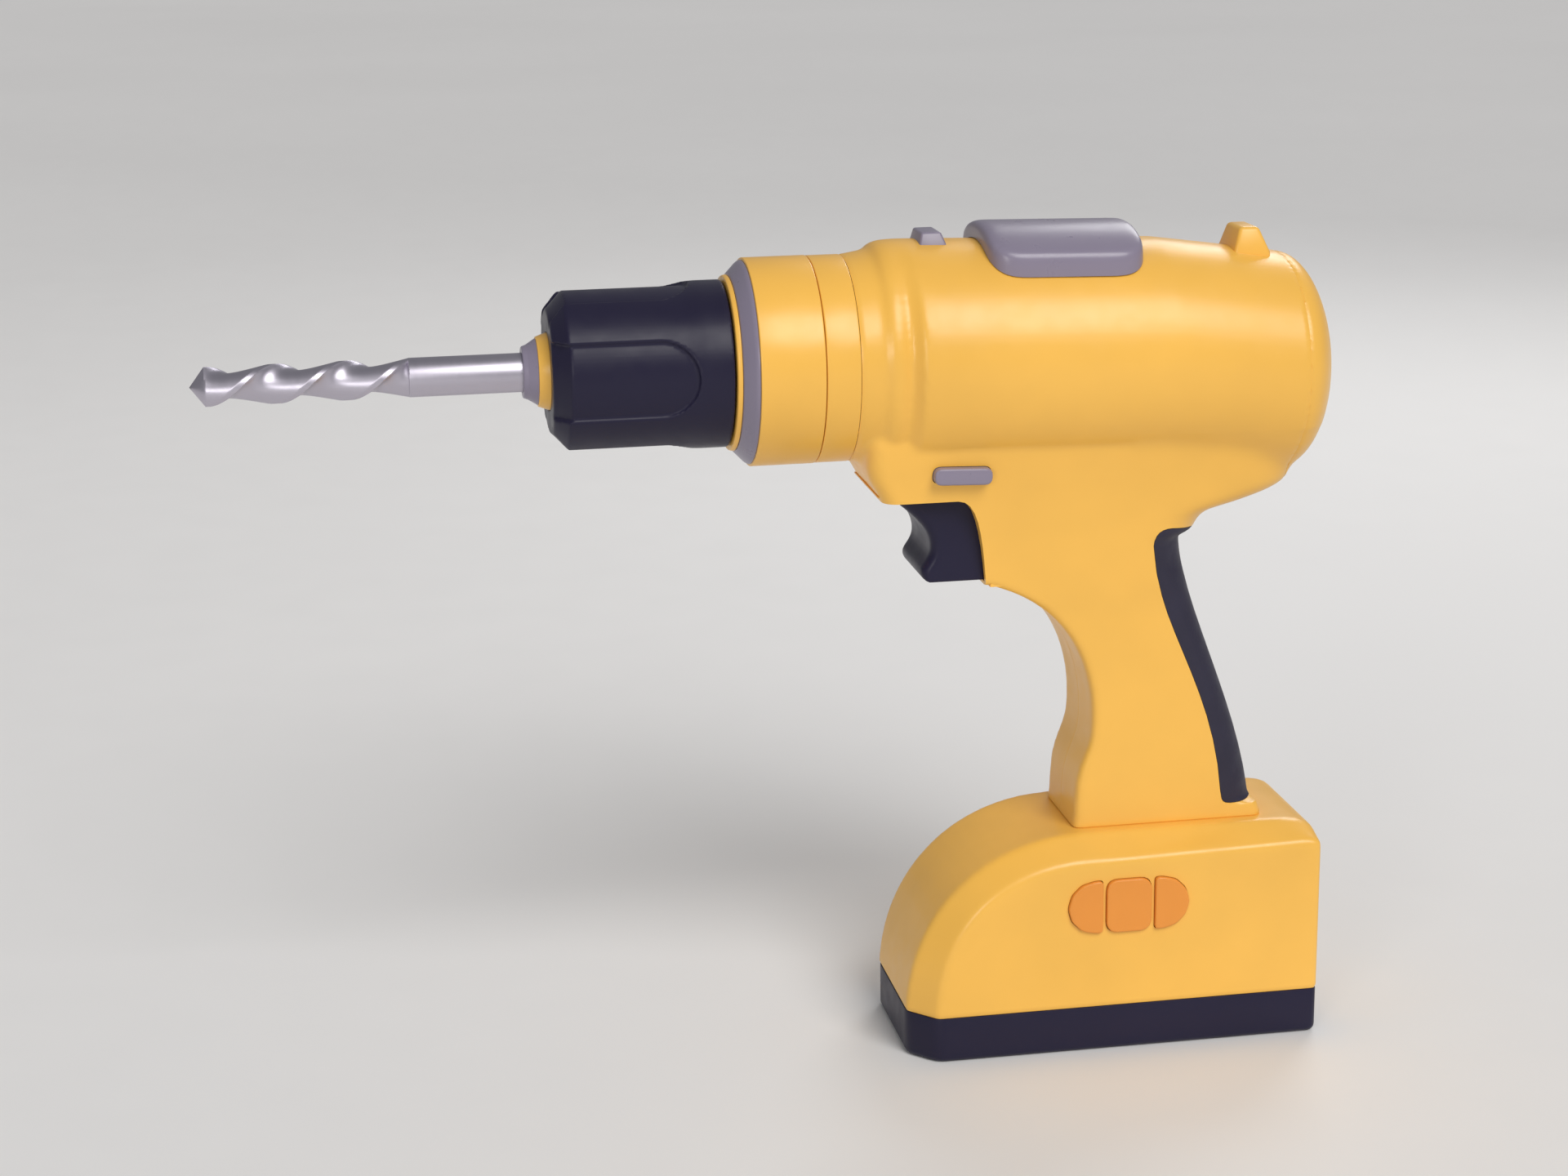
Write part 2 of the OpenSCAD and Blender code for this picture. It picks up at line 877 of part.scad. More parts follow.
module trigger() {
    color("midnightblue")
        difference() {
            intersection() {
                across(-trigger_half_w, trigger_half_w)
                    trigger_outline();
                // the finger face is narrower than the trigger's body
                linear_extrude(200)
                    polygon([[trigger_rear_x, -trigger_half_w], [-50.5, -trigger_half_w], [-56, -8],
                        [-56, 8], [-50.5, trigger_half_w], [trigger_rear_x, trigger_half_w]]);
            }
            // seat of the return spring
            bar_x(trigger_rear_x - 4, trigger_rear_x + 1, spring_r + 0.6, 0, spring_z);
        }
}

module trigger_spring() {
    color("silver")
        translate([trigger_rear_x - 4, 0, spring_z])
            rotate([0, 90, 0])
                linear_extrude(spring_l, twist = -360 * 5, slices = 60, $fn = 6)
                    translate([spring_r - 0.5, 0])
                        circle(r = 0.45, $fn = 6);
}

module trigger_switch() {
    color("dimgray")
        difference() {
            translate([-25.4, -6, 120])
                cube([18, 12, 15.6]);
            bar_x(-26, -25, 1.6, 0, spring_z);
        }
}

module direction_button() {
    color("slategray")
        across(-dir_half_w, dir_half_w)
            direction_outline();
}

// ---- Speed selector ----

module speed_selector() {
    color("slategray")
        on_barrel() {
            difference() {
                intersection() {
                    bar_x(-sel_l / 2, sel_l / 2, barrel_r + sel_rise, h = 0);
                    linear_extrude(40)
                        hull()
                            for (sx = [-1, 1], sy = [-1, 1])
                                translate([sx * (sel_l / 2 - sel_corner_r), sy * (sel_half_w - sel_corner_r)])
                                    circle(r = sel_corner_r, $fn = soft_fn);
                }
                bar_x(-sel_l, sel_l, barrel_r + slide_gap, h = 0);
            }
            // stem through the housing
            translate([-stem_l / 2, -stem_w / 2, barrel_r - 3.5])
                cube([stem_l, stem_w, 4]);
        }
}

// ---- Battery pack ----

// Curved front of the pack's side outline, from its foot up to its top
function pack_front(inset, top) = concat(
    [[-pack_half_l + inset, cover_h]],
    curve([-pack_half_l + inset, cover_h + 1.5], [-pack_half_l + inset + 1.5, 36],
        [-33 + inset * 0.6, top], [-7, top], 14));

// Side outline along the pack's middle, with a long soft fall at its rear
function pack_middle(inset) = concat(
    pack_front(inset, pack_top - inset),
    curve([38, pack_top - inset], [46 - inset, pack_top - inset],
        [50 - inset, pack_top - 1.5 - inset], [pack_half_l - inset, pack_top - 5.4 - inset], 6),
    [[pack_half_l - inset, cover_h]]);

// Side outline at the pack's sides, square at its rear
function pack_rim(inset) = concat(
    pack_front(side_inset + inset, side_top - inset * 0.6),
    [[pack_half_l - 2.5 - inset, side_top + 1.2 - inset], [pack_half_l - 1 - inset, side_top + 0.8 - inset],
        [pack_half_l - 0.5 - inset, side_top - 0.5 - inset], [pack_half_l - 0.5 - inset, cover_h]]);

// Outer shape of the pack above its cover, taken in by an inset
module pack_body(inset) {
    hull() {
        across(-mid_half_w + inset * 0.4, mid_half_w - inset * 0.4)
            polygon(pack_middle(inset));
        across(-pack_half_w + inset, pack_half_w - inset)
            polygon(pack_rim(inset));
    }
}

// Outline of the pack seen from above, with its cut corners
module pack_plan(inset) {
    polygon([for (p = [[-1, -1, side_inset], [-1, 1, side_inset], [1, 1, 0.5], [1, -1, 0.5]])
        let (side = [p[0] * (pack_half_l - p[2] - inset), p[1] * (pack_half_w - inset)],
            end = [p[0] * (pack_half_l - inset), p[1] * (mid_half_w - inset * 0.4)])
        each p[0] * p[1] > 0 ? [side, end] : [end, side]]);
}

// Front outline of a side button, in X and Z
module side_button_outline(side, grow = 0) {
    translate([centre_x + side * (centre_button_l / 2 + side_gap), button_z])
        offset(r = grow)
            intersection() {
                translate([side * (side_button_l - side_button_r), 0])
                    circle(r = side_button_r);
                translate([side > 0 ? 0 : -side_button_l, -button_h / 2])
                    square([side_button_l, button_h]);
            }
}

// Front outline of the centre button, in X and Z
module centre_button_outline(grow = 0) {
    translate([centre_x, button_z])
        offset(r = grow + 2)
            square([centre_button_l - 4, button_h - 3.4], center = true);
}

module battery_shell() {
    color("gold")
        difference() {
            union() {
                difference() {
                    pack_body(0);
                    translate([0, 0, -0.01])
                        pack_body(wall);
                    translate([-60, -30, cover_h - 2])
                        cube([120, 60, 2]);
                }
                for (p = base_screw_places) {
                    translate([p[0], p[1], 5])
                        cylinder(r = 3.4, h = 17);
                    // web from the post to the side wall
                    translate([p[0] - 1, p[1] < 0 ? -pack_half_w + wall - 0.2 : p[1], cover_h + 1])
                        cube([2, pack_half_w - wall + 0.2 - abs(p[1]), 9.5]);
                }
            }
            for (p = base_screw_places)
                translate([p[0], p[1], 4])
                    cylinder(r = pilot_r, h = 14);
            across(-30, -18) {
                side_button_outline(-1, slide_gap);
                centre_button_outline(slide_gap);
                side_button_outline(1, slide_gap);
            }
            wire_way();
            for (k = [-2:2])
                translate([8 + k * 4, 18, 28])
                    cube([1.6, 10, 13]);
        }
}

module base_cover() {
    color("midnightblue")
        difference() {
            union() {
                difference() {
                    linear_extrude(cover_h)
                        pack_plan(0);
                    translate([0, 0, wall])
                        linear_extrude(cover_h)
                            pack_plan(wall);
                }
                for (p = base_screw_places)
                    translate([p[0], p[1], 0])
                        cylinder(r = 4.6, h = 4.9);
                // walls that hold the cells and their contacts
                for (x = [-34.4, 26])
                    translate([x, -15.2, 1])
                        cube([2, 33, 33]);
            }
            for (p = base_screw_places)
                translate([p[0], p[1], -1]) {
                    cylinder(r = clear_r, h = 8);
                    cylinder(r = 3.1, h = screw_seat_z + 1);
                }
        }
}

module battery_cells() {
    color("green")
        for (p = cell_places) {
            bar_x(cell_x, cell_x + cell_l, cell_r, p[0], p[1]);
            bar_x(cell_x + cell_l, cell_x + cell_l + 1.2, 2.7, p[0], p[1]);
        }
}

module contact_plates() {
    color("silver")
        for (p = cell_places) {
            translate([cell_x + cell_l + 1.21, p[0] - 5, p[1] - 5])
                cube([0.5, 10, 10]);
            translate([-32.3, p[0] - 5, p[1] - 5])
                cube([0.5, 10, 10]);
        }
}

module contact_springs() {
    color("silver")
        for (p = cell_places)
            translate([-31.7, p[0], p[1]])
                rotate([0, 90, 0])
                    linear_extrude(5.2, twist = -360 * 3, slices = 36, $fn = 6)
                        translate([3, 0])
                            circle(r = 0.45, $fn = 6);
}

module circuit_board() {
    color("darkgreen")
        difference() {
            across(board_y, board_y + 1.6)
                translate([-18, 26])
                    square([41, 18.5]);
            for (x = [-15.5, 20.5])
                bar_y(board_y - 1, board_y + 3, 1, x, 28.5);
        }
}

module button_pads() {
    color("white")
        across(pad_y, board_y - 0.01)
            translate([-15, 29])
                square([35, 15]);
}

module speaker() {
    color("dimgray") {
        bar_y(17, 20.4, 12, 8, 35);
        bar_y(14, 17, 6, 8, 35);
    }
}

// A push button: its cap in the wall and a flange behind it
module push_button() {
    across(button_face_y, flange_y + 0.1)
        children(0);
    across(flange_y, flange_y + flange_t)
        children(1);
}

module left_button() {
    color("darkorange")
        push_button() {
            side_button_outline(-1);
            side_button_outline(-1, 0.35);
        }
}

module centre_button() {
    color("darkorange")
        push_button() {
            centre_button_outline();
            centre_button_outline(0.35);
        }
}

module right_button() {
    color("darkorange")
        push_button() {
            side_button_outline(1);
            side_button_outline(1, 0.35);
        }
}

housing_left();
housing_right();
rear_cap();
grip_insert();
rear_sight();
front_pointer();
middle_ring();
gear_case();
gear_plate();
front_bush();
rear_bush();
layshaft_pin();
motor_can();
motor_end_cap();
trigger_switch();
battery_shell();
base_cover();
battery_cells();
contact_springs();
contact_plates();
circuit_board();
button_pads();
speaker();
housing_screws();
gear_plate_screws();
motor_screws();
base_screws();
spindle_shaft();
output_gear();
chuck_core();
chuck_sleeve();
chuck_nose();
nose_ring();
drill_bit();
shaft_clip();
compound_gear();
motor_shaft();
motor_pinion();
armature();
clutch_collar();
collar_bezel();
collar_lip();
trigger();
trigger_spring();
direction_button();
speed_selector();
left_button();
centre_button();
right_button();
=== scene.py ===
import json
import math

import bmesh
import bpy
from mathutils import Matrix, Vector

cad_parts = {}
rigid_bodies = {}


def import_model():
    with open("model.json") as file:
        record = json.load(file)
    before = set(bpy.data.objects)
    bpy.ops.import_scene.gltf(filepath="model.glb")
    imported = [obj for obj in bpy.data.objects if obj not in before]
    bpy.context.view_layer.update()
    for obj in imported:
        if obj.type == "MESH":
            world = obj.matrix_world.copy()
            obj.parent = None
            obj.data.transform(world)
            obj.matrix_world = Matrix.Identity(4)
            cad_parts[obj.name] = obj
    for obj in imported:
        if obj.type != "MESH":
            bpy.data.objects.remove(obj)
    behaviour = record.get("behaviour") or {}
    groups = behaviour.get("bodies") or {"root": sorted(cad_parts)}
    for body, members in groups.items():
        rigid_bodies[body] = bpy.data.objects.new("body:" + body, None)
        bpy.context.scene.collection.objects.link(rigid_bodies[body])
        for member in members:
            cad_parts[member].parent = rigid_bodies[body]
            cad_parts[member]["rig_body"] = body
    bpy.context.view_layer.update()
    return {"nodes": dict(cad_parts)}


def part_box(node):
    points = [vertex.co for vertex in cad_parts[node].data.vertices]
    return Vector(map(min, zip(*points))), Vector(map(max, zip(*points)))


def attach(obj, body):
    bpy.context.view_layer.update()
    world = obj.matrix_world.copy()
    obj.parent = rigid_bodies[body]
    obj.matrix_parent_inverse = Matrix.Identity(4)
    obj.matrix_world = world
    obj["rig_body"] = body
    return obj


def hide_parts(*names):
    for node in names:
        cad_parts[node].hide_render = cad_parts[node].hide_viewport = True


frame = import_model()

# Drawing is in millimetres, and every helper turns its numbers into metres.
MM = 0.001


def low(node):
    """Lowest corner of a CAD node, in millimetres."""
    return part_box(node)[0] / MM


def high(node):
    """Highest corner of a CAD node, in millimetres."""
    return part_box(node)[1] / MM


# ---- Driving dimensions, from the frame ----

AXIS_Z = (low("chuck_sleeve").z + high("chuck_sleeve").z) / 2
BARREL_R = high("housing_left").z - AXIS_Z
NECK_X = low("housing_left").x
REAR_X = low("rear_cap").x + 4
REAR_END_X = high("rear_cap").x
REAR_R = (high("rear_cap").z - low("rear_cap").z) / 2
REAR_Z = (high("rear_cap").z + low("rear_cap").z) / 2
GRIP_HALF_W = 13
WALL = 2
FOOT_Z = low("housing_left").z
PACK_HALF_L = high("base_cover").x
PACK_HALF_W = high("base_cover").y
COVER_H = 11.5
TRIGGER_TOP = high("trigger").z
TRIGGER_BOTTOM = low("trigger").z


# ---- Modelling helpers ----

def at(x, y, z):
    """A place in millimetres, as a vector in metres."""
    return Vector((x, y, z)) * MM


def pick(*pieces):
    """Select only these pieces, the last one active."""
    bpy.ops.object.select_all(action="DESELECT")
    for piece in pieces:
        piece.select_set(True)
    bpy.context.view_layer.objects.active = pieces[-1]


def begin(piece):
    """Open a piece in edit mode with nothing selected."""
    pick(piece)
    bpy.ops.object.mode_set(mode="EDIT")
    bpy.ops.mesh.select_mode(type="VERT")
    bpy.ops.mesh.select_all(action="DESELECT")


def end():
    """Leave edit mode."""
    bpy.ops.object.mode_set(mode="OBJECT")


def choose_points(piece, test):
    """In edit mode, select the points whose place in millimetres passes a test."""
    bpy.ops.mesh.select_mode(type="VERT")
    mesh = bmesh.from_edit_mesh(piece.data)
    for point in mesh.verts:
        point.select_set(bool(test(point.co / MM)))
    mesh.select_flush_mode()
    bmesh.update_edit_mesh(piece.data)


def choose_edges(piece, test):
    """In edit mode, select the edges whose two ends in millimetres pass a test."""
    bpy.ops.mesh.select_all(action="DESELECT")
    bpy.ops.mesh.select_mode(type="EDGE")
    mesh = bmesh.from_edit_mesh(piece.data)
    for edge in mesh.edges:
        edge.select_set(bool(test(edge.verts[0].co / MM, edge.verts[1].co / MM)))
    mesh.select_flush_mode()
    bmesh.update_edit_mesh(piece.data)


def choose_rim(piece, test=None):
    """In edit mode, select the points on open edges that pass a test."""
    bpy.ops.mesh.select_mode(type="VERT")
    bpy.ops.mesh.select_all(action="DESELECT")
    mesh = bmesh.from_edit_mesh(piece.data)
    for edge in mesh.edges:
        if edge.is_boundary:
            for point in edge.verts:
                if test is None or test(point.co / MM):
                    point.select_set(True)
    mesh.select_flush_mode()
    bmesh.update_edit_mesh(piece.data)


def settle(name):
    """Name the piece just added and put its place into its mesh."""
    piece = bpy.context.object
    bpy.ops.object.transform_apply(location=True, rotation=True, scale=True)
    piece.name = name
    piece.data.name = name
    return piece


def face_outwards(piece):
    """Weld near points, drop loose ones and turn every face outwards."""
    begin(piece)
    bpy.ops.mesh.select_all(action="SELECT")
    bpy.ops.mesh.remove_doubles(threshold=0.002 * MM)
    bpy.ops.mesh.delete_loose()
    bpy.ops.mesh.select_all(action="SELECT")
    bpy.ops.mesh.normals_make_consistent(inside=False)
    end()


def drawn(name, points, filled=True):
    """Draw an outline by extruding one point from place to place, closed and filled."""
    bpy.ops.object.select_all(action="DESELECT")
    bpy.ops.mesh.primitive_plane_add(size=MM)
    piece = settle(name)
    begin(piece)
    bpy.ops.mesh.select_all(action="SELECT")
    bpy.ops.mesh.merge(type="CENTER")
    bpy.ops.transform.translate(value=at(*points[0]))
    here = points[0]
    for there in points[1:]:
        step = at(*there) - at(*here)
        bpy.ops.mesh.extrude_vertices_move(TRANSFORM_OT_translate={"value": step})
        here = there
    bpy.ops.mesh.select_all(action="SELECT")
    bpy.ops.mesh.edge_face_add()
    if not filled:
        bpy.ops.mesh.delete(type="ONLY_FACE")
    end()
    return piece


def raised(piece, move):
    """Extrude a filled outline by a move in millimetres, into a closed solid."""
    begin(piece)
    bpy.ops.mesh.select_all(action="SELECT")
    bpy.ops.mesh.extrude_region_move(TRANSFORM_OT_translate={"value": at(*move)})
    end()
    face_outwards(piece)
    return piece


def across(name, outline, y0, y1):
    """A side outline in x and z, given a thickness from y0 to y1."""
    return raised(drawn(name, [(x, y0, z) for x, z in outline]), (0, y1 - y0, 0))


def turned(name, profile, steps=128, axis_z=None):
    """Turn a closed profile of (x, radius) points about the spindle axis."""
    middle = AXIS_Z if axis_z is None else axis_z
    piece = drawn(name, [(x, 0, middle + r) for x, r in profile], filled=False)
    begin(piece)
    bpy.ops.mesh.select_all(action="SELECT")
    bpy.ops.mesh.spin(steps=steps, angle=math.tau, center=at(0, 0, middle), axis=(1, 0, 0))
    end()
    face_outwards(piece)
    return piece


def apply(piece, kind, **settings):
    """Add a modifier, set it up and apply it."""
    modifier = piece.modifiers.new(kind.lower(), kind)
    for key, value in settings.items():
        setattr(modifier, key, value)
    pick(piece)
    bpy.ops.object.modifier_apply(modifier=modifier.name)
    return piece


def cut(piece, tool, how="DIFFERENCE", keep=False, solver="EXACT"):
    """Cut a piece with a tool, or join or trim it to the tool."""
    apply(piece, "BOOLEAN", operation=how, object=tool, solver=solver)
    if not keep:
        bpy.data.objects.remove(tool)
    return piece


def melted(piece, voxel, rounds):
    """Give overlapping solids one skin, and let every edge run soft."""
    apply(piece, "REMESH", mode="VOXEL", voxel_size=voxel * MM)
    apply(piece, "SMOOTH", factor=0.5, iterations=rounds)
    return piece


def sliced(piece, place, normal):
    """Cut a piece at a plane and drop what lies on the normal's side."""
    begin(piece)
    bpy.ops.mesh.select_all(action="SELECT")
    bpy.ops.mesh.bisect(plane_co=at(*place), plane_no=normal, clear_outer=True)
    end()
    return piece


def copied(piece, name):
    """A copy of a piece with its own mesh."""
    twin = piece.copy()
    twin.data = piece.data.copy()
    twin.name = name
    twin.data.name = name
    bpy.context.scene.collection.objects.link(twin)
    return twin


def joined(pieces):
    """Several solids as one object, the first one's name kept."""
    pick(*pieces[1:], pieces[0])
    bpy.ops.object.join()
    return pieces[0]


def closed(piece):
    """Weld slivers left by cutting and fill any open seam."""
    begin(piece)
    bpy.ops.mesh.select_all(action="SELECT")
    bpy.ops.mesh.remove_doubles(threshold=0.01 * MM)
    bpy.ops.mesh.dissolve_degenerate(threshold=0.005 * MM)
    bpy.ops.mesh.select_all(action="DESELECT")
    bpy.ops.mesh.select_non_manifold(extend=False)
    bpy.ops.mesh.fill_holes(sides=0)
    end()
    face_outwards(piece)


def smooth(piece, angle=35):
    """Shade smooth, with every edge past an angle kept crisp."""
    pick(piece)
    bpy.ops.object.shade_smooth_by_angle(angle=math.radians(angle))


def curve(a, b, c, d, steps=10):
    """Points on a cubic curve from a to d, pulled towards b and c."""
    points = []
    for i in range(steps + 1):
        t = i / steps
        s = 1 - t
        shares = (s * s * s, 3 * s * s * t, 3 * s * t * t, t * t * t)
        points.append(tuple(sum(w * p[k] for w, p in zip(shares, (a, b, c, d))) for k in (0, 1)))
    return points


def rounded(outline, radius, steps=4):
    """A closed outline with each corner replaced by a small arc."""
    soft = []
    for i, corner in enumerate(outline):
        here = Vector(corner)
        before = Vector(outline[i - 1]) - here
        after = Vector(outline[(i + 1) % len(outline)]) - here
        reach = min(radius, before.length * 0.45, after.length * 0.45)
        start = here + before.normalized() * reach
        stop = here + after.normalized() * reach
        for k in range(steps + 1):
            t = k / steps
            soft.append(tuple(start * (1 - t) ** 2 + here * (2 * t * (1 - t)) + stop * t * t))
    return soft


def level(points, z):
    """The x or width of a line of (value, z) points at a height."""
    if z <= points[0][1]:
        return points[0][0]
    for (v0, z0), (v1, z1) in zip(points, points[1:]):
        if z <= z1:
            return v0 + (v1 - v0) * (z - z0) / (z1 - z0)
    return points[-1][0]


# ---- Camera, floor and light ----

LENS = 67.5
VIEW_TURN = math.radians(-9.86)
VIEW_RISE = math.radians(15.03)
VIEW_ROLL = math.radians(-0.8)
VIEW_DISTANCE = 698
VIEW_TARGET = (-77.1, 0, 115.2)


def make_camera():
    """Place the camera by its turn, rise and roll about the target."""
    camera = bpy.data.objects.new("camera", bpy.data.cameras.new("camera"))
    camera.data.lens = LENS
    camera.data.sensor_width = 36
    camera.data.clip_start = 0.05
    bpy.context.scene.collection.objects.link(camera)
    back = Vector((math.sin(VIEW_TURN) * math.cos(VIEW_RISE),
                   -math.cos(VIEW_TURN) * math.cos(VIEW_RISE), math.sin(VIEW_RISE)))
    right = Vector((math.cos(VIEW_TURN), math.sin(VIEW_TURN), 0))
    upright = back.cross(right)
    across_view = right * math.cos(VIEW_ROLL) + upright * math.sin(VIEW_ROLL)
    up_view = upright * math.cos(VIEW_ROLL) - right * math.sin(VIEW_ROLL)
    turn = Matrix((across_view, up_view, back)).transposed()
    place = at(*VIEW_TARGET) + back * VIEW_DISTANCE * MM
    camera.matrix_world = Matrix.Translation(place) @ turn.to_4x4()
    bpy.context.scene.camera = camera


def make_floor():
    """A plain pale floor that reaches out of sight."""
    bpy.ops.object.select_all(action="DESELECT")
    bpy.ops.mesh.primitive_plane_add(size=24, location=(0, 0, 0))
    floor = settle("floor")
    floor.data.materials.append(floor_paint())


def area_light(name, place, target, size, power, colour=(1, 1, 1)):
    """A round soft lamp that faces a target."""
    lamp = bpy.data.lights.new(name, "AREA")
    lamp.shape = "DISK"
    lamp.size = size
    lamp.energy = power
    lamp.color = colour
    light = bpy.data.objects.new(name, lamp)
    light.location = Vector(place)
    light.rotation_euler = (Vector(place) - Vector(target)).to_track_quat("Z", "Y").to_euler()
    bpy.context.scene.collection.objects.link(light)


def soft_sun(name, place, strength, spread, colour=(1, 1, 1)):
    """An even far light from a direction, soft edged."""
    lamp = bpy.data.lights.new(name, "SUN")
    lamp.energy = strength
    lamp.angle = math.radians(spread)
    lamp.color = colour
    light = bpy.data.objects.new(name, lamp)
    light.rotation_euler = Vector(place).to_track_quat("Z", "Y").to_euler()
    bpy.context.scene.collection.objects.link(light)


def make_lights():
    """An even key from above the near side, a gloss light at the front and a soft room."""
    middle = (-0.05, 0, 0.12)
    soft_sun("key", (0.3, -0.9, 0.9), 1.85, 34, (1.0, 0.985, 0.965))
    area_light("gloss", (-0.62, -0.95, 0.42), middle, 0.36, 1.8, (1.0, 0.99, 0.97))
    area_light("rim", (0.5, 0.8, 0.75), middle, 0.5, 2.5)
    world = bpy.data.worlds.new("soft_room")
    world.use_nodes = True
    backdrop = world.node_tree.nodes["Background"]
    backdrop.inputs["Color"].default_value = (0.9, 0.91, 0.94, 1)
    backdrop.inputs["Strength"].default_value = 0.28
    bpy.context.scene.world = world
    bpy.context.scene.view_settings.view_transform = "Standard"


# ---- Materials ----

def sheet_of(name):
    """A new material, its nodes, a way to link them, and its shader."""
    material = bpy.data.materials.new(name)
    material.use_nodes = True
    nodes = material.node_tree.nodes
    return material, nodes, material.node_tree.links.new, nodes["Principled BSDF"]


def noise(nodes, link, coords, scale, detail=3):
    """A noise pattern over the piece, finer as the scale grows."""
    texture = nodes.new("ShaderNodeTexNoise")
    texture.inputs["Scale"].default_value = scale
    texture.inputs["Detail"].default_value = detail
    link(coords, texture.inputs["Vector"])
    return texture.outputs["Fac"]


def span(nodes, link, value, low_end, high_end):
    """The middle of a pattern's range, spread between two numbers."""
    ranger = nodes.new("ShaderNodeMapRange")
    ranger.inputs["From Min"].default_value = 0.3
    ranger.inputs["From Max"].default_value = 0.7
    ranger.inputs["To Min"].default_value = low_end
    ranger.inputs["To Max"].default_value = high_end
    link(value, ranger.inputs["Value"])
    return ranger.outputs["Result"]


def two_tones(nodes, link, value, dark, light):
    """A colour that a pattern blends from dark to light."""
    mix = nodes.new("ShaderNodeMix")
    mix.data_type = "RGBA"
    mix.inputs["A"].default_value = (*dark, 1)
    mix.inputs["B"].default_value = (*light, 1)
    link(value, mix.inputs["Factor"])
    return mix.outputs["Result"]


def bump(nodes, link, height, strength, distance, under=None):
    """Fine relief from a pattern, its distance in millimetres."""
    node = nodes.new("ShaderNodeBump")
    node.inputs["Strength"].default_value = strength
    node.inputs["Distance"].default_value = distance * MM
    link(height, node.inputs["Height"])
    if under is not None:
        link(under, node.inputs["Normal"])
    return node.outputs["Normal"]


def plastic(name, colour, rough=(0.32, 0.42), grain=0.25, shade=0.05, specular=0.5):
    """Moulded plastic: a slightly uneven colour, polish marks and a fine mould grain."""
    material, nodes, link, shader = sheet_of(name)
    coords = nodes.new("ShaderNodeTexCoord").outputs["Object"]
    flow = span(nodes, link, noise(nodes, link, coords, 28), 0, 1)
    dark = tuple(c * (1 - shade) for c in colour)
    light = tuple(min(1, c * (1 + shade)) for c in colour)
    link(two_tones(nodes, link, flow, dark, light), shader.inputs["Base Color"])
    polish = noise(nodes, link, coords, 190, 5)
    link(span(nodes, link, polish, *rough), shader.inputs["Roughness"])
    ripple = bump(nodes, link, noise(nodes, link, coords, 60, 2), 0.1, 0.05)
    fine = noise(nodes, link, coords, 3200, 4)
    link(bump(nodes, link, fine, grain, 0.02, ripple), shader.inputs["Normal"])
    shader.inputs["Specular IOR Level"].default_value = specular
    return material


def metal(name, colour, rough=(0.22, 0.36), lines=900, grain=0.2, shade=0.12):
    """Machined metal with fine turning lines round the spindle axis."""
    material, nodes, link, shader = sheet_of(name)
    coords = nodes.new("ShaderNodeTexCoord").outputs["Object"]
    stretch = nodes.new("ShaderNodeMapping")
    stretch.inputs["Scale"].default_value = (1, 0.04, 0.04)
    link(coords, stretch.inputs["Vector"])
    turning = noise(nodes, link, stretch.outputs["Vector"], lines, 5)
    smear = noise(nodes, link, coords, 120, 4)
    dark = tuple(c * (1 - shade) for c in colour)
    link(two_tones(nodes, link, span(nodes, link, smear, 0, 1), dark, colour),
         shader.inputs["Base Color"])
    link(span(nodes, link, turning, *rough), shader.inputs["Roughness"])
    link(bump(nodes, link, turning, grain, 0.02), shader.inputs["Normal"])
    shader.inputs["Metallic"].default_value = 1
    return material


def rubber(name, colour):
    """Soft grip rubber: matt, with a fine pebbled skin."""
    material, nodes, link, shader = sheet_of(name)
    coords = nodes.new("ShaderNodeTexCoord").outputs["Object"]
    pebbles = nodes.new("ShaderNodeTexVoronoi")
    pebbles.inputs["Scale"].default_value = 1400
    link(coords, pebbles.inputs["Vector"])
    dust = span(nodes, link, noise(nodes, link, coords, 90, 4), 0, 1)
    link(two_tones(nodes, link, dust, tuple(c * 0.9 for c in colour), tuple(c * 1.12 for c in colour)),
         shader.inputs["Base Color"])
    link(span(nodes, link, noise(nodes, link, coords, 300, 4), 0.5, 0.62), shader.inputs["Roughness"])
    link(bump(nodes, link, pebbles.outputs["Distance"], 0.3, 0.06), shader.inputs["Normal"])
    return material


def floor_paint():
    """Matt pale paint with the faintest clouding."""
    material, nodes, link, shader = sheet_of("floor_paint")
    coords = nodes.new("ShaderNodeTexCoord").outputs["Object"]
    cloud = span(nodes, link, noise(nodes, link, coords, 1.6, 3), 0, 1)
    link(two_tones(nodes, link, cloud, (0.84, 0.83, 0.82), (0.87, 0.86, 0.85)),
         shader.inputs["Base Color"])
    link(span(nodes, link, noise(nodes, link, coords, 40, 4), 0.62, 0.72), shader.inputs["Roughness"])
    link(bump(nodes, link, noise(nodes, link, coords, 500, 4), 0.15, 0.05), shader.inputs["Normal"])
    return material


def linear(red, green, blue):
    """A screen colour from 0 to 255 as the shader's linear colour."""
    share = [v / 255 for v in (red, green, blue)]
    return tuple(v / 12.92 if v <= 0.04045 else ((v + 0.055) / 1.055) ** 2.4 for v in share)


YELLOW = plastic("yellow_plastic", linear(248, 191, 84), rough=(0.28, 0.36))
NAVY = plastic("navy_plastic", linear(34, 31, 54), rough=(0.32, 0.42), shade=0.06, specular=0.25)
GREY = plastic("grey_plastic", linear(138, 130, 149), rough=(0.27, 0.31), grain=0.12, shade=0.03)
ORANGE = plastic("orange_plastic", linear(236, 150, 58), rough=(0.28, 0.36))
SOFT = rubber("soft_grip", linear(36, 33, 54))
PAD = rubber("pad_rubber", linear(205, 203, 198))
SILVER = metal("bit_silver", linear(196, 191, 203), rough=(0.36, 0.4), grain=0.03, shade=0.03)
STEEL = metal("bright_steel", linear(190, 190, 192), rough=(0.25, 0.4))
ZINC = metal("zinc_steel", linear(176, 178, 182), rough=(0.3, 0.48), lines=500)
BRONZE = metal("bronze", linear(190, 140, 85), rough=(0.3, 0.45))
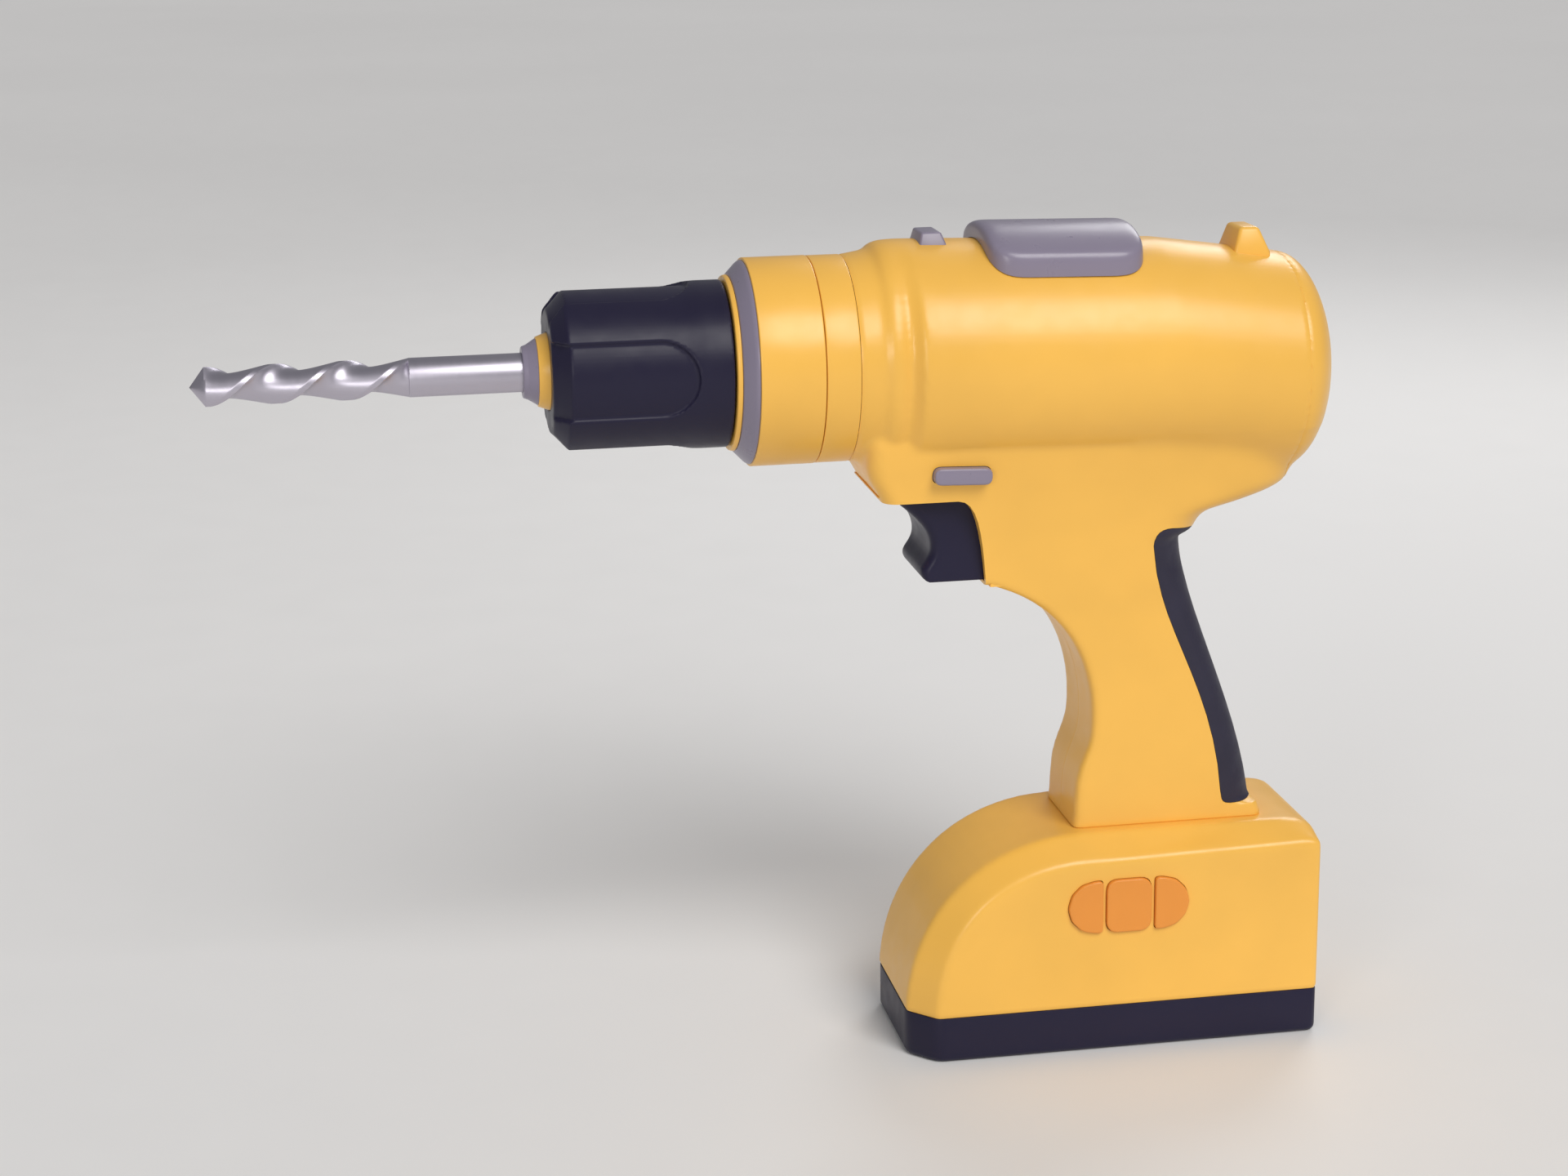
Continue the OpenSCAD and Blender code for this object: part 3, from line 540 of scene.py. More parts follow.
COPPER = metal("winding_copper", linear(196, 108, 62), rough=(0.28, 0.4), lines=2400, grain=0.6)
NYLON = plastic("gear_nylon", linear(228, 224, 210), rough=(0.4, 0.5))
CASE = plastic("case_plastic", linear(70, 70, 74), rough=(0.42, 0.55))
BLACK = plastic("black_plastic", linear(28, 28, 30), rough=(0.4, 0.5))
BOARD = plastic("board_green", linear(34, 92, 58), rough=(0.25, 0.4), shade=0.15)
WRAP = plastic("cell_wrap", linear(70, 120, 90), rough=(0.2, 0.3))


def dress(piece, *materials):
    """Give a piece these materials and no others."""
    piece.data.materials.clear()
    for material in materials:
        piece.data.materials.append(material)


def hand_over(piece, material, node, angle=35):
    """Give a finished piece its finish and its body, and hide the node it stands for."""
    dress(piece, material)
    smooth(piece, angle)
    body = frame["nodes"][node]["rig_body"]
    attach(piece, body)
    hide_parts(node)


# ---- Housing ----

GRIP_FRONT = ([(-8.9, FOOT_Z), (-8.4, 61)]
              + curve((-8.4, 61), (-8.2, 71), (-4.3, 72), (-4.3, 80), 6)[1:]
              + curve((-4.3, 80), (-4, 101), (-16, 112.5), (-31.3, 116.6), 14)[1:])
OPENING_REAR = curve((-31.3, TRIGGER_BOTTOM), (-32.5, 130), (-34, 138), (-38.6, TRIGGER_TOP), 8)
GRIP_REAR = curve((37.4, 58.5), (34, 82), (19, 108), (18, 125), 12)
BELLY = [(19.6, 125.7), (21.4, 126.5), (22.2, 128), (23.6, 130.2), (25.8, 131.5), (32.6, 133),
         (40, 135.2), (45, 137.5), (45, 150), (44, 158)]
LOWER_WIDTHS = [(13, 54), (13, 108), (14, 118), (15.2, 128), (16.6, 138), (18.4, 146), (19.3, 151.5),
                (19.3, 160)]
INSERT_EDGE = curve((9.4, 127), (9.4, 105), (25.5, 90), (27.9, 61), 12) + [(29.2, 58), (38.5, 57.6)]


def ring_up(ring, station):
    """Extrude a level ring up or down to its next size and place."""
    x0, x1, half_w, z = station
    a0, a1, was_w, was_z = ring
    middle = (x0 + x1) / 2
    step = at(middle - (a0 + a1) / 2, 0, z - was_z)
    bpy.ops.mesh.extrude_region_move(TRANSFORM_OT_translate={"value": step})
    bpy.ops.transform.resize(value=((x1 - x0) / (a1 - a0), half_w / was_w, 1),
                             center_override=at(middle, 0, z))
    return station


def lofted_up(name, stations, front_r, rear_r):
    """A solid that rises through level rings, each (front x, rear x, half width, height)."""
    x0, x1, half_w, z = stations[0]
    bpy.ops.object.select_all(action="DESELECT")
    bpy.ops.mesh.primitive_plane_add(size=1, location=at((x0 + x1) / 2, 0, z))
    bpy.ops.transform.resize(value=((x1 - x0) * MM, 2 * half_w * MM, 1))
    piece = settle(name)
    begin(piece)
    choose_points(piece, lambda p: p.x < (x0 + x1) / 2)
    bpy.ops.mesh.bevel(offset=front_r * MM, segments=5, affect="VERTICES")
    choose_points(piece, lambda p: p.x > x1 - 0.01)
    bpy.ops.mesh.bevel(offset=rear_r * MM, segments=8, affect="VERTICES")
    bpy.ops.mesh.select_all(action="SELECT")
    bpy.ops.mesh.delete(type="ONLY_FACE")
    bpy.ops.mesh.select_all(action="SELECT")
    ring = stations[0]
    for station in stations[1:]:
        ring = ring_up(ring, station)
    top = stations[-1][3]
    choose_points(piece, lambda p: p.z > top - 0.01)
    bpy.ops.mesh.edge_face_add()
    choose_points(piece, lambda p: p.z < z + 0.01)
    bpy.ops.mesh.edge_face_add()
    end()
    face_outwards(piece)
    return piece


def grip_form():
    """The grip and everything below the barrel, with spare length where the trigger goes."""
    front = ([(GRIP_FRONT[0][0], FOOT_Z - 6)] + GRIP_FRONT[1:]
             + [(-42, GRIP_FRONT[-1][1] + 0.1), (-42, 160)])
    rear = [(37.4, FOOT_Z), (37.4, 57.6)] + GRIP_REAR + BELLY
    heights = sorted({round(z, 2) for x, z in front + rear if z > FOOT_Z - 6} | {FOOT_Z - 6})
    stations = [(level(front, z), level(rear, z), level(LOWER_WIDTHS, z), z) for z in heights]
    return lofted_up("grip_form", stations, 1.8, 9)


def nose_form():
    """The block under the neck that overhangs the trigger."""
    stations = [(-54, 20, 16, TRIGGER_TOP - 4), (-56.2, 20, 16.6, TRIGGER_TOP), (-57.4, 20, 17, 140.5),
                (-59.2, 20, 17.6, 143.5), (-60, 20, 18.3, 146.5), (-60.3, 20, 19.3, 152),
                (-60.3, 20, 19.3, 160)]
    return lofted_up("nose_form", stations, 3.5, 6)


# Side radius, top radius and station of the barrel, from the neck back
BARREL_RINGS = [(24, 24, -66), (24, 24, NECK_X), (24.2, 25, -56.8), (25, 26.4, -55.4),
                (25.1, 27, -53.6), (24.3, 27.2, -51), (25.6, 27.2, -49.4), (26.6, 27.2, -48.4),
                (26.8, 27.2, -46), (26.7, 27, -10), (26.5, 26.9, 12), (26.4, 26.6, 26),
                (26.1, 26.1, REAR_X)]


def axis_fall(x):
    """How far the barrel's middle line has fallen at a station."""
    return level([(0, -50), (1.5, 12), (AXIS_Z - REAR_Z, REAR_X)], x)


def barrel_form():
    """The barrel with its neck, shoulder and domed rear, lofted from front to rear."""
    side, top, x = BARREL_RINGS[0]
    bpy.ops.object.select_all(action="DESELECT")
    bpy.ops.mesh.primitive_circle_add(vertices=96, radius=side * MM, location=at(x, 0, AXIS_Z),
                                      rotation=(0, math.pi / 2, 0))
    piece = settle("barrel_form")
    depth = REAR_END_X - REAR_X
    dome = [(REAR_R * math.cos(a), REAR_R * math.cos(a), REAR_X + depth * math.sin(a))
            for a in (math.pi / 2 * k / 12 for k in range(1, 12))]
    begin(piece)
    bpy.ops.mesh.select_all(action="SELECT")
    for next_side, next_top, next_x in BARREL_RINGS[1:] + dome:
        step = at(next_x - x, 0, axis_fall(x) - axis_fall(next_x))
        bpy.ops.mesh.extrude_region_move(TRANSFORM_OT_translate={"value": step})
        bpy.ops.transform.resize(value=(1, next_side / side, next_top / top),
                                 center_override=at(next_x, 0, AXIS_Z - axis_fall(next_x)))
        side, top, x = next_side, next_top, next_x
    bpy.ops.mesh.extrude_region_move(TRANSFORM_OT_translate={"value": at(REAR_END_X - x, 0, 0)})
    bpy.ops.mesh.merge(type="CENTER")
    first = BARREL_RINGS[0][2]
    choose_points(piece, lambda p: p.x < first + 0.01)
    bpy.ops.mesh.edge_face_add()
    end()
    face_outwards(piece)
    return piece


def foot_form():
    """The thin ledge that the grip stands on."""
    stations = [(-8.9, 38.9, GRIP_HALF_W, FOOT_Z - 4), (-8.9, 38.9, GRIP_HALF_W, FOOT_Z + 0.4),
                (-8.5, 38.2, GRIP_HALF_W - 0.3, 57.4)]
    return lofted_up("foot_form", stations, 1.8, 2.4)


# Half the depth of a tool that cuts right through, and where the trigger's space ends
THROUGH = 30
SPACE_FRONT_X = -75
SPACE_BOTTOM = 112


def trigger_space():
    """The room under the nose, up to the curved edge behind the trigger."""
    outline = ([(-31.3, SPACE_BOTTOM)] + OPENING_REAR
               + [(SPACE_FRONT_X, TRIGGER_TOP), (SPACE_FRONT_X, SPACE_BOTTOM)])
    return across("trigger_space", outline, -40, 40)


def body_form():
    """Barrel, nose and grip under one soft skin."""
    form = joined([barrel_form(), nose_form(), grip_form(), foot_form()])
    form.name = "body_form"
    melted(form, voxel=0.7, rounds=6)
    cut(form, trigger_space())
    begin(form)
    # The belly's crease, where the rear of the grip meets the barrel, runs softer still
    choose_points(form, lambda p: p.x > 2 and 128 < p.z < 152 and abs(p.y) < 24)
    bpy.ops.mesh.vertices_smooth(factor=0.5, repeat=30)
    end()
    return form


def tucked_rim(piece, depth, test=None):
    """Sink the open edges a little, so that a fine groove shows where two parts meet."""
    begin(piece)
    choose_rim(piece, test)
    bpy.ops.transform.shrink_fatten(value=-depth * MM)
    end()


def walled(piece, thickness):
    """Give a skin a wall on its inner side."""
    face_outwards(piece)
    return apply(piece, "SOLIDIFY", thickness=thickness * MM, offset=-1)


SEAM_DEPTH = 0.22
SPLIT_DEPTH = 0.05


def box_tool(name, lowest, highest):
    """A plain cutting block between two corners."""
    outline = [(lowest[0], lowest[2]), (highest[0], lowest[2]), (highest[0], highest[2]),
               (lowest[0], highest[2])]
    return across(name, outline, lowest[1], highest[1])


def slanted(middle_x, middle_z, length, height, radius, slant):
    """A block outline with rounded corners, turned by a slant in degrees."""
    c, s = math.cos(math.radians(slant)), math.sin(math.radians(slant))
    points = []
    for side_x, side_z in ((-1, -1), (1, -1), (1, 1), (-1, 1)):
        x, z = side_x * length / 2, side_z * height / 2
        points.append((middle_x + x * c - z * s, middle_z + x * s + z * c))
    return rounded(points, radius, 5)


DIRECTION_X = (low("direction_button").x + high("direction_button").x) / 2
DIRECTION_Z = (low("direction_button").z + high("direction_button").z) / 2
DIRECTION_L = 13.7
DIRECTION_H = 4
DIRECTION_CORNER = 2
DIRECTION_SLANT = -2
CONTROL_GAP = 0.3
TRIGGER_ROOM_HALF_W = 12.45
TRIGGER_ROOM_REAR_X = -25.3
SLOT_HALF_W = 3.7
INSERT_GAP = 0.12
INSERT_WALL = 3


def insert_outline(grow):
    """Outline of the soft insert, with its rear side well behind the grip."""
    top = curve((9.4 - grow, 124), (9.4 - grow, 127.2 + grow), (11, 128.4 + grow),
                (14, 128.2 + grow), 6)
    side = [(x - grow, z) for x, z in INSERT_EDGE[2:-2]]
    corner = curve((28.1 - grow, 60), (28.3 - grow, 58 - grow), (29, 57.6 - grow),
                   (32, 57.6 - grow), 5)
    behind = [(45, 57.9 - grow), (45, 70), (34, 110), (30, 120), (20, 127.4 + grow)]
    return top[::-1] + side + corner + behind


def skin_holes():
    """The rooms sunk into the housing for the pieces that go through its skin, as one tool."""
    room = box_tool("trigger_room", (-56, -TRIGGER_ROOM_HALF_W, TRIGGER_BOTTOM - CONTROL_GAP),
                    (TRIGGER_ROOM_REAR_X, TRIGGER_ROOM_HALF_W, TRIGGER_TOP + CONTROL_GAP))
    soft = across("insert_room", insert_outline(0), -THROUGH, THROUGH)
    switch_room = slanted(DIRECTION_X, DIRECTION_Z, DIRECTION_L + CONTROL_GAP, DIRECTION_H + CONTROL_GAP,
                          DIRECTION_CORNER, DIRECTION_SLANT)
    switch = across("switch_room", switch_room, -THROUGH, THROUGH)
    slot = box_tool("selector_slot", (-17, -SLOT_HALF_W, 180), (-4.7, SLOT_HALF_W, 205))
    return joined([room, soft, switch, slot])


def housing_skins(form):
    """The skins of the housing's two halves, with a room for each piece that goes in."""
    near = copied(form, "left_shell")
    cut(near, skin_holes())
    sliced(near, (NECK_X, 0, 0), (-1, 0, 0))
    sliced(near, (REAR_X, 0, 0), (1, 0, 0))
    sliced(near, (0, 0, FOOT_Z), (0, 0, -1))
    tucked_rim(near, SEAM_DEPTH)
    far = copied(near, "right_shell")
    sliced(near, (0, 0, 0), (0, 1, 0))
    sliced(far, (0, 0, 0), (0, -1, 0))
    for half in (near, far):
        tucked_rim(half, SPLIT_DEPTH, lambda p: abs(p.y) < 0.01)
    return near, far


SCREW_PLACES = [(-53.5, 143.5), (-26, 142.5), (34, 148), (0, 118), (15, 76), (-1.5, 63), (26, 184)]
SCREW_SEAT_Y = 6
RECESS_R = 2.9
SHANK_HOLE_R = 1.6
PILOT_R = 1.3
PILOT_DEPTH = 9
POST_R = 4.2
PILOT_POST_R = 3
POST_REACH = 26


def rods(name, places, radius, y0, y1):
    """Round bars along y at each (x, z) place, as one tool."""
    bars = []
    for x, z in places:
        bpy.ops.object.select_all(action="DESELECT")
        bpy.ops.mesh.primitive_cylinder_add(vertices=32, radius=radius * MM, depth=(y1 - y0) * MM,
                                            location=at(x, (y0 + y1) / 2, z),
                                            rotation=(math.pi / 2, 0, 0))
        bars.append(settle(name))
    return joined(bars)


def core_form(form):
    """The body's form taken in by half a wall, to trim the screw posts."""
    core = copied(form, "core")
    begin(core)
    bpy.ops.mesh.select_all(action="SELECT")
    bpy.ops.transform.shrink_fatten(value=-WALL / 2 * MM)
    end()
    return melted(core, voxel=0.9, rounds=1)


def screw_posts(core, side, radius):
    """Posts from the middle plane to the inside of one wall."""
    posts = rods("posts", SCREW_PLACES, radius, min(0, POST_REACH * side), max(0, POST_REACH * side))
    return cut(posts, core, "INTERSECT", keep=True)


def make_housing(form):
    """Two walled halves with their screw posts, recesses and pilot holes."""
    near, far = housing_skins(form)
    core = core_form(form)
    for shell, side, post_r in ((near, -1, PILOT_POST_R), (far, 1, POST_R)):
        walled(shell, WALL)
        cut(shell, screw_posts(core, side, post_r), "UNION", solver="MANIFOLD")
    bpy.data.objects.remove(core)
    recesses = rods("recesses", SCREW_PLACES, RECESS_R, SCREW_SEAT_Y, THROUGH)
    cut(far, recesses, solver="MANIFOLD")
    shank_holes = rods("shank_holes", SCREW_PLACES, SHANK_HOLE_R, -1, SCREW_SEAT_Y + 1)
    cut(far, shank_holes, solver="MANIFOLD")
    pilot_holes = rods("pilot_holes", SCREW_PLACES, PILOT_R, -PILOT_DEPTH, 1)
    cut(near, pilot_holes, solver="MANIFOLD")
    for shell, node in ((near, "housing_left"), (far, "housing_right")):
        closed(shell)
        hand_over(shell, YELLOW, node)


def make_rear_cap(form):
    """The domed cap behind the seam at the rear of the barrel."""
    cap = sliced(copied(form, "rear_cover"), (REAR_X, 0, 0), (-1, 0, 0))
    tucked_rim(cap, SEAM_DEPTH)
    walled(cap, WALL)
    hand_over(cap, YELLOW, "rear_cap")


def make_grip_insert(form):
    """The soft strip down the back of the grip."""
    insert = copied(form, "back_grip")
    tool = across("insert_space", insert_outline(-INSERT_GAP), -THROUGH, THROUGH)
    cut(insert, tool, "INTERSECT")
    walled(insert, INSERT_WALL)
    hand_over(insert, SOFT, "grip_insert")


# ---- Front end ----

RING_STEPS = 160


def ring_piece(name, profile, material, node, edge=0.3):
    """A turned ring with softly rounded edges."""
    hand_over(turned(name, rounded(profile, edge, 3), RING_STEPS), material, node)


CASE_R = 20
COLLAR_BORE = 14
LIP_X = low("collar_lip").x
BEZEL_X = low("collar_bezel").x
COLLAR_X = low("clutch_collar").x
COLLAR_R = high("clutch_collar").y
COLLAR_END_X = high("clutch_collar").x
RING_X = low("middle_ring").x
NOSE_X = low("chuck_nose").x
NOSE_RING_X = low("nose_ring").x
CHUCK_X = low("chuck_sleeve").x
CHUCK_END_X = high("chuck_sleeve").x
CHUCK_R = high("chuck_sleeve").y
CORE_R = 11
TIP_X = low("drill_bit").x
BIT_END_X = high("drill_bit").x
BIT_R = high("drill_bit").y


def make_front_rings():
    """Every ring round the spindle, from the neck to the nose."""
    ring_piece("front_band", [(RING_X - 0.1, CASE_R), (RING_X - 0.1, COLLAR_R - 0.1),
                              (NECK_X - 0.05, COLLAR_R - 0.1), (NECK_X - 0.05, CASE_R)],
               YELLOW, "middle_ring")
    ring_piece("setting_collar", [(COLLAR_X, CASE_R + 0.1), (COLLAR_X, COLLAR_R),
                                  (COLLAR_END_X, COLLAR_R), (COLLAR_END_X, CASE_R + 0.1)],
               YELLOW, "clutch_collar")
    ring_piece("collar_cone", [(BEZEL_X, COLLAR_BORE), (BEZEL_X, 20.6), (COLLAR_X - 0.9, 23.3),
                               (COLLAR_X, 23.8), (COLLAR_X, COLLAR_BORE)],
               GREY, "collar_bezel", 0.4)
    ring_piece("collar_edge", [(LIP_X, COLLAR_BORE), (LIP_X, 20.2), (BEZEL_X - 0.05, 20.5),
                               (BEZEL_X - 0.05, COLLAR_BORE)],
               YELLOW, "collar_lip", 0.35)
    ring_piece("nose_cone", [(NOSE_X, BIT_R + 0.05), (NOSE_X, 5.9), (NOSE_X + 1.1, 6.3),
                             (NOSE_RING_X + 0.1, 7.7), (NOSE_RING_X + 0.1, 6.3), (CHUCK_X + 1.5, 6.3),
                             (CHUCK_X + 1.5, BIT_R + 0.05)],
               GREY, "chuck_nose", 0.2)
    ring_piece("nose_band", [(NOSE_RING_X + 0.1, 6.4), (NOSE_RING_X + 0.1, 8), (CHUCK_X, 8.9),
                             (CHUCK_X + 1.2, 8.9), (CHUCK_X + 1.2, 6.4)],
               YELLOW, "nose_ring", 0.2)


PANEL_HALF_W = 8.8
PANEL_DEPTH = 0.8
PANEL_END_X = -98.7
PANEL_FLOOR_R = CHUCK_R - 0.3 - PANEL_DEPTH
PANELS = 4
SLEEVE_R = CHUCK_R - 0.3
SLEEVE_FRONT_X = -129.9
SLEEVE_FRONT_R = 9


def panel_tool():
    """Cutter for one sunk panel: straight sides, a round rear end, open at the front."""
    turn_x = PANEL_END_X - PANEL_HALF_W
    end_arc = [(turn_x + PANEL_HALF_W * math.cos(a), PANEL_HALF_W * math.sin(a))
               for a in (math.pi * (k / 16 - 0.5) for k in range(17))]
    outline = [(CHUCK_X - 2, PANEL_HALF_W), (CHUCK_X - 2, -PANEL_HALF_W)] + end_arc
    floor_z = AXIS_Z + 8
    tool = raised(drawn("panel_tool", [(x, y, floor_z) for x, y in outline]), (0, 0, 16))
    core = turned("panel_core", [(CHUCK_X - 3, 0), (CHUCK_X - 3, 12), (CHUCK_X + 0.6, 14.6),
                                 (-127.6, PANEL_FLOOR_R), (PANEL_END_X + 1, PANEL_FLOOR_R),
                                 (PANEL_END_X + 1, 0)], 96)
    return cut(tool, core)


def make_chuck_sleeve():
    """The dark sleeve with its four sunk panels."""
    profile = [(CHUCK_X, SLEEVE_FRONT_R), (CHUCK_X, 15.6), (-128.2, SLEEVE_R), (-105, SLEEVE_R),
               (-101, SLEEVE_R + 0.1), (-97, CHUCK_R), (CHUCK_END_X, CHUCK_R),
               (CHUCK_END_X, CORE_R + 0.05), (SLEEVE_FRONT_X, CORE_R + 0.05),
               (SLEEVE_FRONT_X, SLEEVE_FRONT_R)]
    sleeve = turned("chuck_body", profile)
    for k in range(PANELS):
        tool = panel_tool()
        begin(tool)
        bpy.ops.mesh.select_all(action="SELECT")
        bpy.ops.transform.rotate(value=math.tau / PANELS * k, orient_axis="X",
                                 center_override=at(0, 0, AXIS_Z))
        end()
        cut(sleeve, tool)
    melted(sleeve, voxel=0.37, rounds=4)
    hand_over(sleeve, NAVY, "chuck_sleeve")


FLUTE_END_X = -162.9
BIT_SHOULDER_X = TIP_X + 3.4
FLUTE_TURN = math.radians(522)
FLUTE_STEPS = 96
FLUTE_START = math.radians(108)
FLUTE_DEPTH = 0.36
FLUTE_LEAN = 0.6
FLUTE_SHARE = 0.88
SECTION_POINTS = 96
# The point of the bit: each step's size against the last, and how far along it lies
TIP_STEPS = ((0.75, 0.25), (0.667, 0.5), (0.5, 0.75), (0.1, 1))


def flute_section(x):
    """Cross-section of the bit: steep behind each of its two edges, then a slow rise to the next."""
    points = []
    for k in range(SECTION_POINTS):
        a = math.tau * k / SECTION_POINTS
        t = (a - FLUTE_START) % math.pi / math.pi
        fall = math.sin(math.pi * min(1, t / FLUTE_SHARE) ** FLUTE_LEAN)
        r = BIT_R * (1 - FLUTE_DEPTH * fall)
        points.append((x, r * math.cos(a), AXIS_Z + r * math.sin(a)))
    return points


def make_drill_bit():
    """Fluted length made by extruding and turning its section, then the point and the plain shank."""
    bit = drawn("twist_bit", flute_section(FLUTE_END_X), filled=False)
    begin(bit)
    bpy.ops.mesh.select_all(action="SELECT")
    step = (BIT_SHOULDER_X - FLUTE_END_X) / FLUTE_STEPS
    for k in range(FLUTE_STEPS):
        bpy.ops.mesh.extrude_region_move(TRANSFORM_OT_translate={"value": at(step, 0, 0)})
        bpy.ops.transform.rotate(value=-FLUTE_TURN / FLUTE_STEPS, orient_axis="X",
                                 center_override=at(0, 0, AXIS_Z))
    for size, place in TIP_STEPS:
        here = BIT_SHOULDER_X + (TIP_X - BIT_SHOULDER_X) * place
        mesh = bmesh.from_edit_mesh(bit.data)
        was = [v.co.x for v in mesh.verts if v.select][0]
        bpy.ops.mesh.extrude_region_move(TRANSFORM_OT_translate={"value": (here * MM - was, 0, 0)})
        bpy.ops.transform.resize(value=(1, size, size), center_override=at(here, 0, AXIS_Z))
    bpy.ops.mesh.merge(type="CENTER")
    choose_points(bit, lambda p: p.x > FLUTE_END_X - 0.01)
    bpy.ops.mesh.edge_face_add()
    end()
    face_outwards(bit)
    shank = turned("shank", rounded([(FLUTE_END_X - 0.4, 0), (FLUTE_END_X - 0.4, BIT_R),
                                     (BIT_END_X, BIT_R), (BIT_END_X, 0)], 0.25, 3), 72)
    joined([bit, shank])
    hand_over(bit, SILVER, "drill_bit", angle=40)


# ---- Trigger and controls ----

TRIGGER_REAR_X = -31
SPRING_Z = 128
SPRING_SEAT = [(-35, 0), (-35, 3.6), (-30, 3.6), (-30, 0)]


def make_trigger():
    """The trigger: a side outline given its width, with a soft front."""
    outline = ([(TRIGGER_REAR_X, TRIGGER_BOTTOM), (-44.6, TRIGGER_BOTTOM)]
               + curve((-45.6, TRIGGER_BOTTOM + 0.6), (-48, 121.4), (-43.3, 122), (-43.9, 126.6), 8)
               + curve((-43.9, 126.6), (-44.3, 131), (-49, 134.6), (-53.2, TRIGGER_TOP), 8)[1:]
               + [(TRIGGER_REAR_X, TRIGGER_TOP)])
    half_w = high("trigger").y
    trigger = across("finger_trigger", outline, -half_w, half_w)
    begin(trigger)
    choose_edges(trigger, lambda a, b: abs(a.y - b.y) < 0.1 and max(a.x, b.x) < -43
                 and min(a.z, b.z) > TRIGGER_BOTTOM + 0.3)
    bpy.ops.mesh.bevel(offset=2.4 * MM, segments=4, affect="EDGES")
    end()
    melted(trigger, voxel=0.4, rounds=6)
    cut(trigger, turned("spring_seat", SPRING_SEAT, 48, SPRING_Z))
    hand_over(trigger, NAVY, "trigger")


def make_direction_button():
    """The bar through the housing that sets which way the bit turns."""
    half_w = high("direction_button").y
    outline = slanted(DIRECTION_X, DIRECTION_Z, DIRECTION_L, DIRECTION_H, DIRECTION_CORNER,
                      DIRECTION_SLANT)
    button = across("direction_switch", outline, -half_w, half_w)
    begin(button)
    choose_edges(button, lambda a, b: abs(a.y - b.y) < 0.1)
    bpy.ops.mesh.bevel(offset=0.55 * MM, segments=4, affect="EDGES")
    end()
    hand_over(button, GREY, "direction_button")


SELECTOR_CORNER = 7
SELECTOR_TUCK = 0.8
SELECTOR_R = 31.3
SELECTOR_LIFT = 0.25
# The barrel's top falls by 1.5 over 62
TOP_TILT = math.atan2(1.5, 62)


def make_selector():
    """The sliding block on top: a pillow that wraps over the barrel."""
    lo, hi = low("speed_selector"), high("speed_selector")
    middle = (lo.x + hi.x) / 2
    half_w = hi.y - SELECTOR_TUCK
    plan = rounded([(lo.x, -half_w), (hi.x, -half_w), (hi.x, half_w), (lo.x, half_w)],
                   SELECTOR_CORNER, 8)
    block = raised(drawn("gear_selector", [(x, y, AXIS_Z + 12) for x, y in plan]), (0, 0, 26))
    ends = (lo.x - 5, hi.x + 5)
    tools = []
    for name, radius in (("round_top", SELECTOR_R), ("seat", BARREL_R + SELECTOR_LIFT)):
        profile = [(ends[0], 0), (ends[0], radius), (ends[1], radius), (ends[1], 0)]
        tools.append(turned(name, profile))
    for tool in tools:
        begin(tool)
        bpy.ops.mesh.select_all(action="SELECT")
        bpy.ops.transform.translate(value=at(0, 0, -axis_fall(middle)))
        bpy.ops.transform.rotate(value=-TOP_TILT, orient_axis="Y",
                                 center_override=at(middle, 0, AXIS_Z - axis_fall(middle)))
        end()
    round_top, seat = tools
    cut(block, round_top, "INTERSECT")
    melted(block, voxel=0.5, rounds=80)
    cut(block, seat)
    hand_over(block, GREY, "speed_selector")


FIN_H = 6
FIN_ROOT = 2


def make_fin(name, node, base, top_x, half_base, half_top, material, edge):
    """A small tapered piece that stands on the barrel, with a straight root below."""
    top_z = high(node).z
    base_z = top_z - FIN_H
    bpy.ops.object.select_all(action="DESELECT")
    bpy.ops.mesh.primitive_plane_add(size=1, location=at(sum(base) / 2, 0, base_z - FIN_ROOT))
    bpy.ops.transform.resize(value=((base[1] - base[0]) * MM, 2 * half_base * MM, 1))
    fin = settle(name)
    begin(fin)
    bpy.ops.mesh.select_all(action="SELECT")
    bpy.ops.mesh.extrude_region_move(TRANSFORM_OT_translate={"value": at(0, 0, FIN_ROOT)})
    move = sum(top_x) / 2 - sum(base) / 2
    bpy.ops.mesh.extrude_region_move(TRANSFORM_OT_translate={"value": at(move, 0, top_z - base_z)})
    taper = (top_x[1] - top_x[0]) / (base[1] - base[0])
    bpy.ops.transform.resize(value=(taper, half_top / half_base, 1),
                             center_override=at(sum(top_x) / 2, 0, top_z))
    end()
    face_outwards(fin)
    apply(fin, "BEVEL", width=edge * MM, segments=4, limit_method="ANGLE", angle_limit=math.radians(25))
    hand_over(fin, material, node)


def make_top_pieces():
    """The pointer in front of the selector, and the fin behind it."""
    make_fin("top_marker", "front_pointer", (-46, -37.6), (-44.6, -40), 6.6, 4.6, GREY, 0.5)
    make_fin("rear_fin", "rear_sight", (30.1, 39.1), (31.9, 36.5), 6.6, 5, YELLOW, 0.9)


# ---- Battery pack ----

MIDDLE_HALF_W = 16
# How far the pack's front is taken in at its sides, and over how much of its width
SIDE_INSET = 6.5
SIDE_INSET_W = 7
REAR_INSET = 0.5
PACK_SEAM_DEPTH = 0.3


def pack_front(inset_x, top):
    """Curved front of the pack's side outline, from its foot up to its top."""
    front = -PACK_HALF_L + inset_x
    return ([(front, COVER_H - 5)]
            + curve((front, COVER_H + 1.5), (front + 1.5, 36), (-33 + inset_x * 0.6, top), (-7, top), 16))


def middle_outline():
    """Side outline along the pack's middle, with a long soft fall at its rear."""
    fall = curve((39, FOOT_Z), (47, FOOT_Z), (50.6, FOOT_Z - 0.8), (PACK_HALF_L, FOOT_Z - 4.4), 8)
    return pack_front(0, FOOT_Z) + fall + [(PACK_HALF_L, COVER_H - 5)]


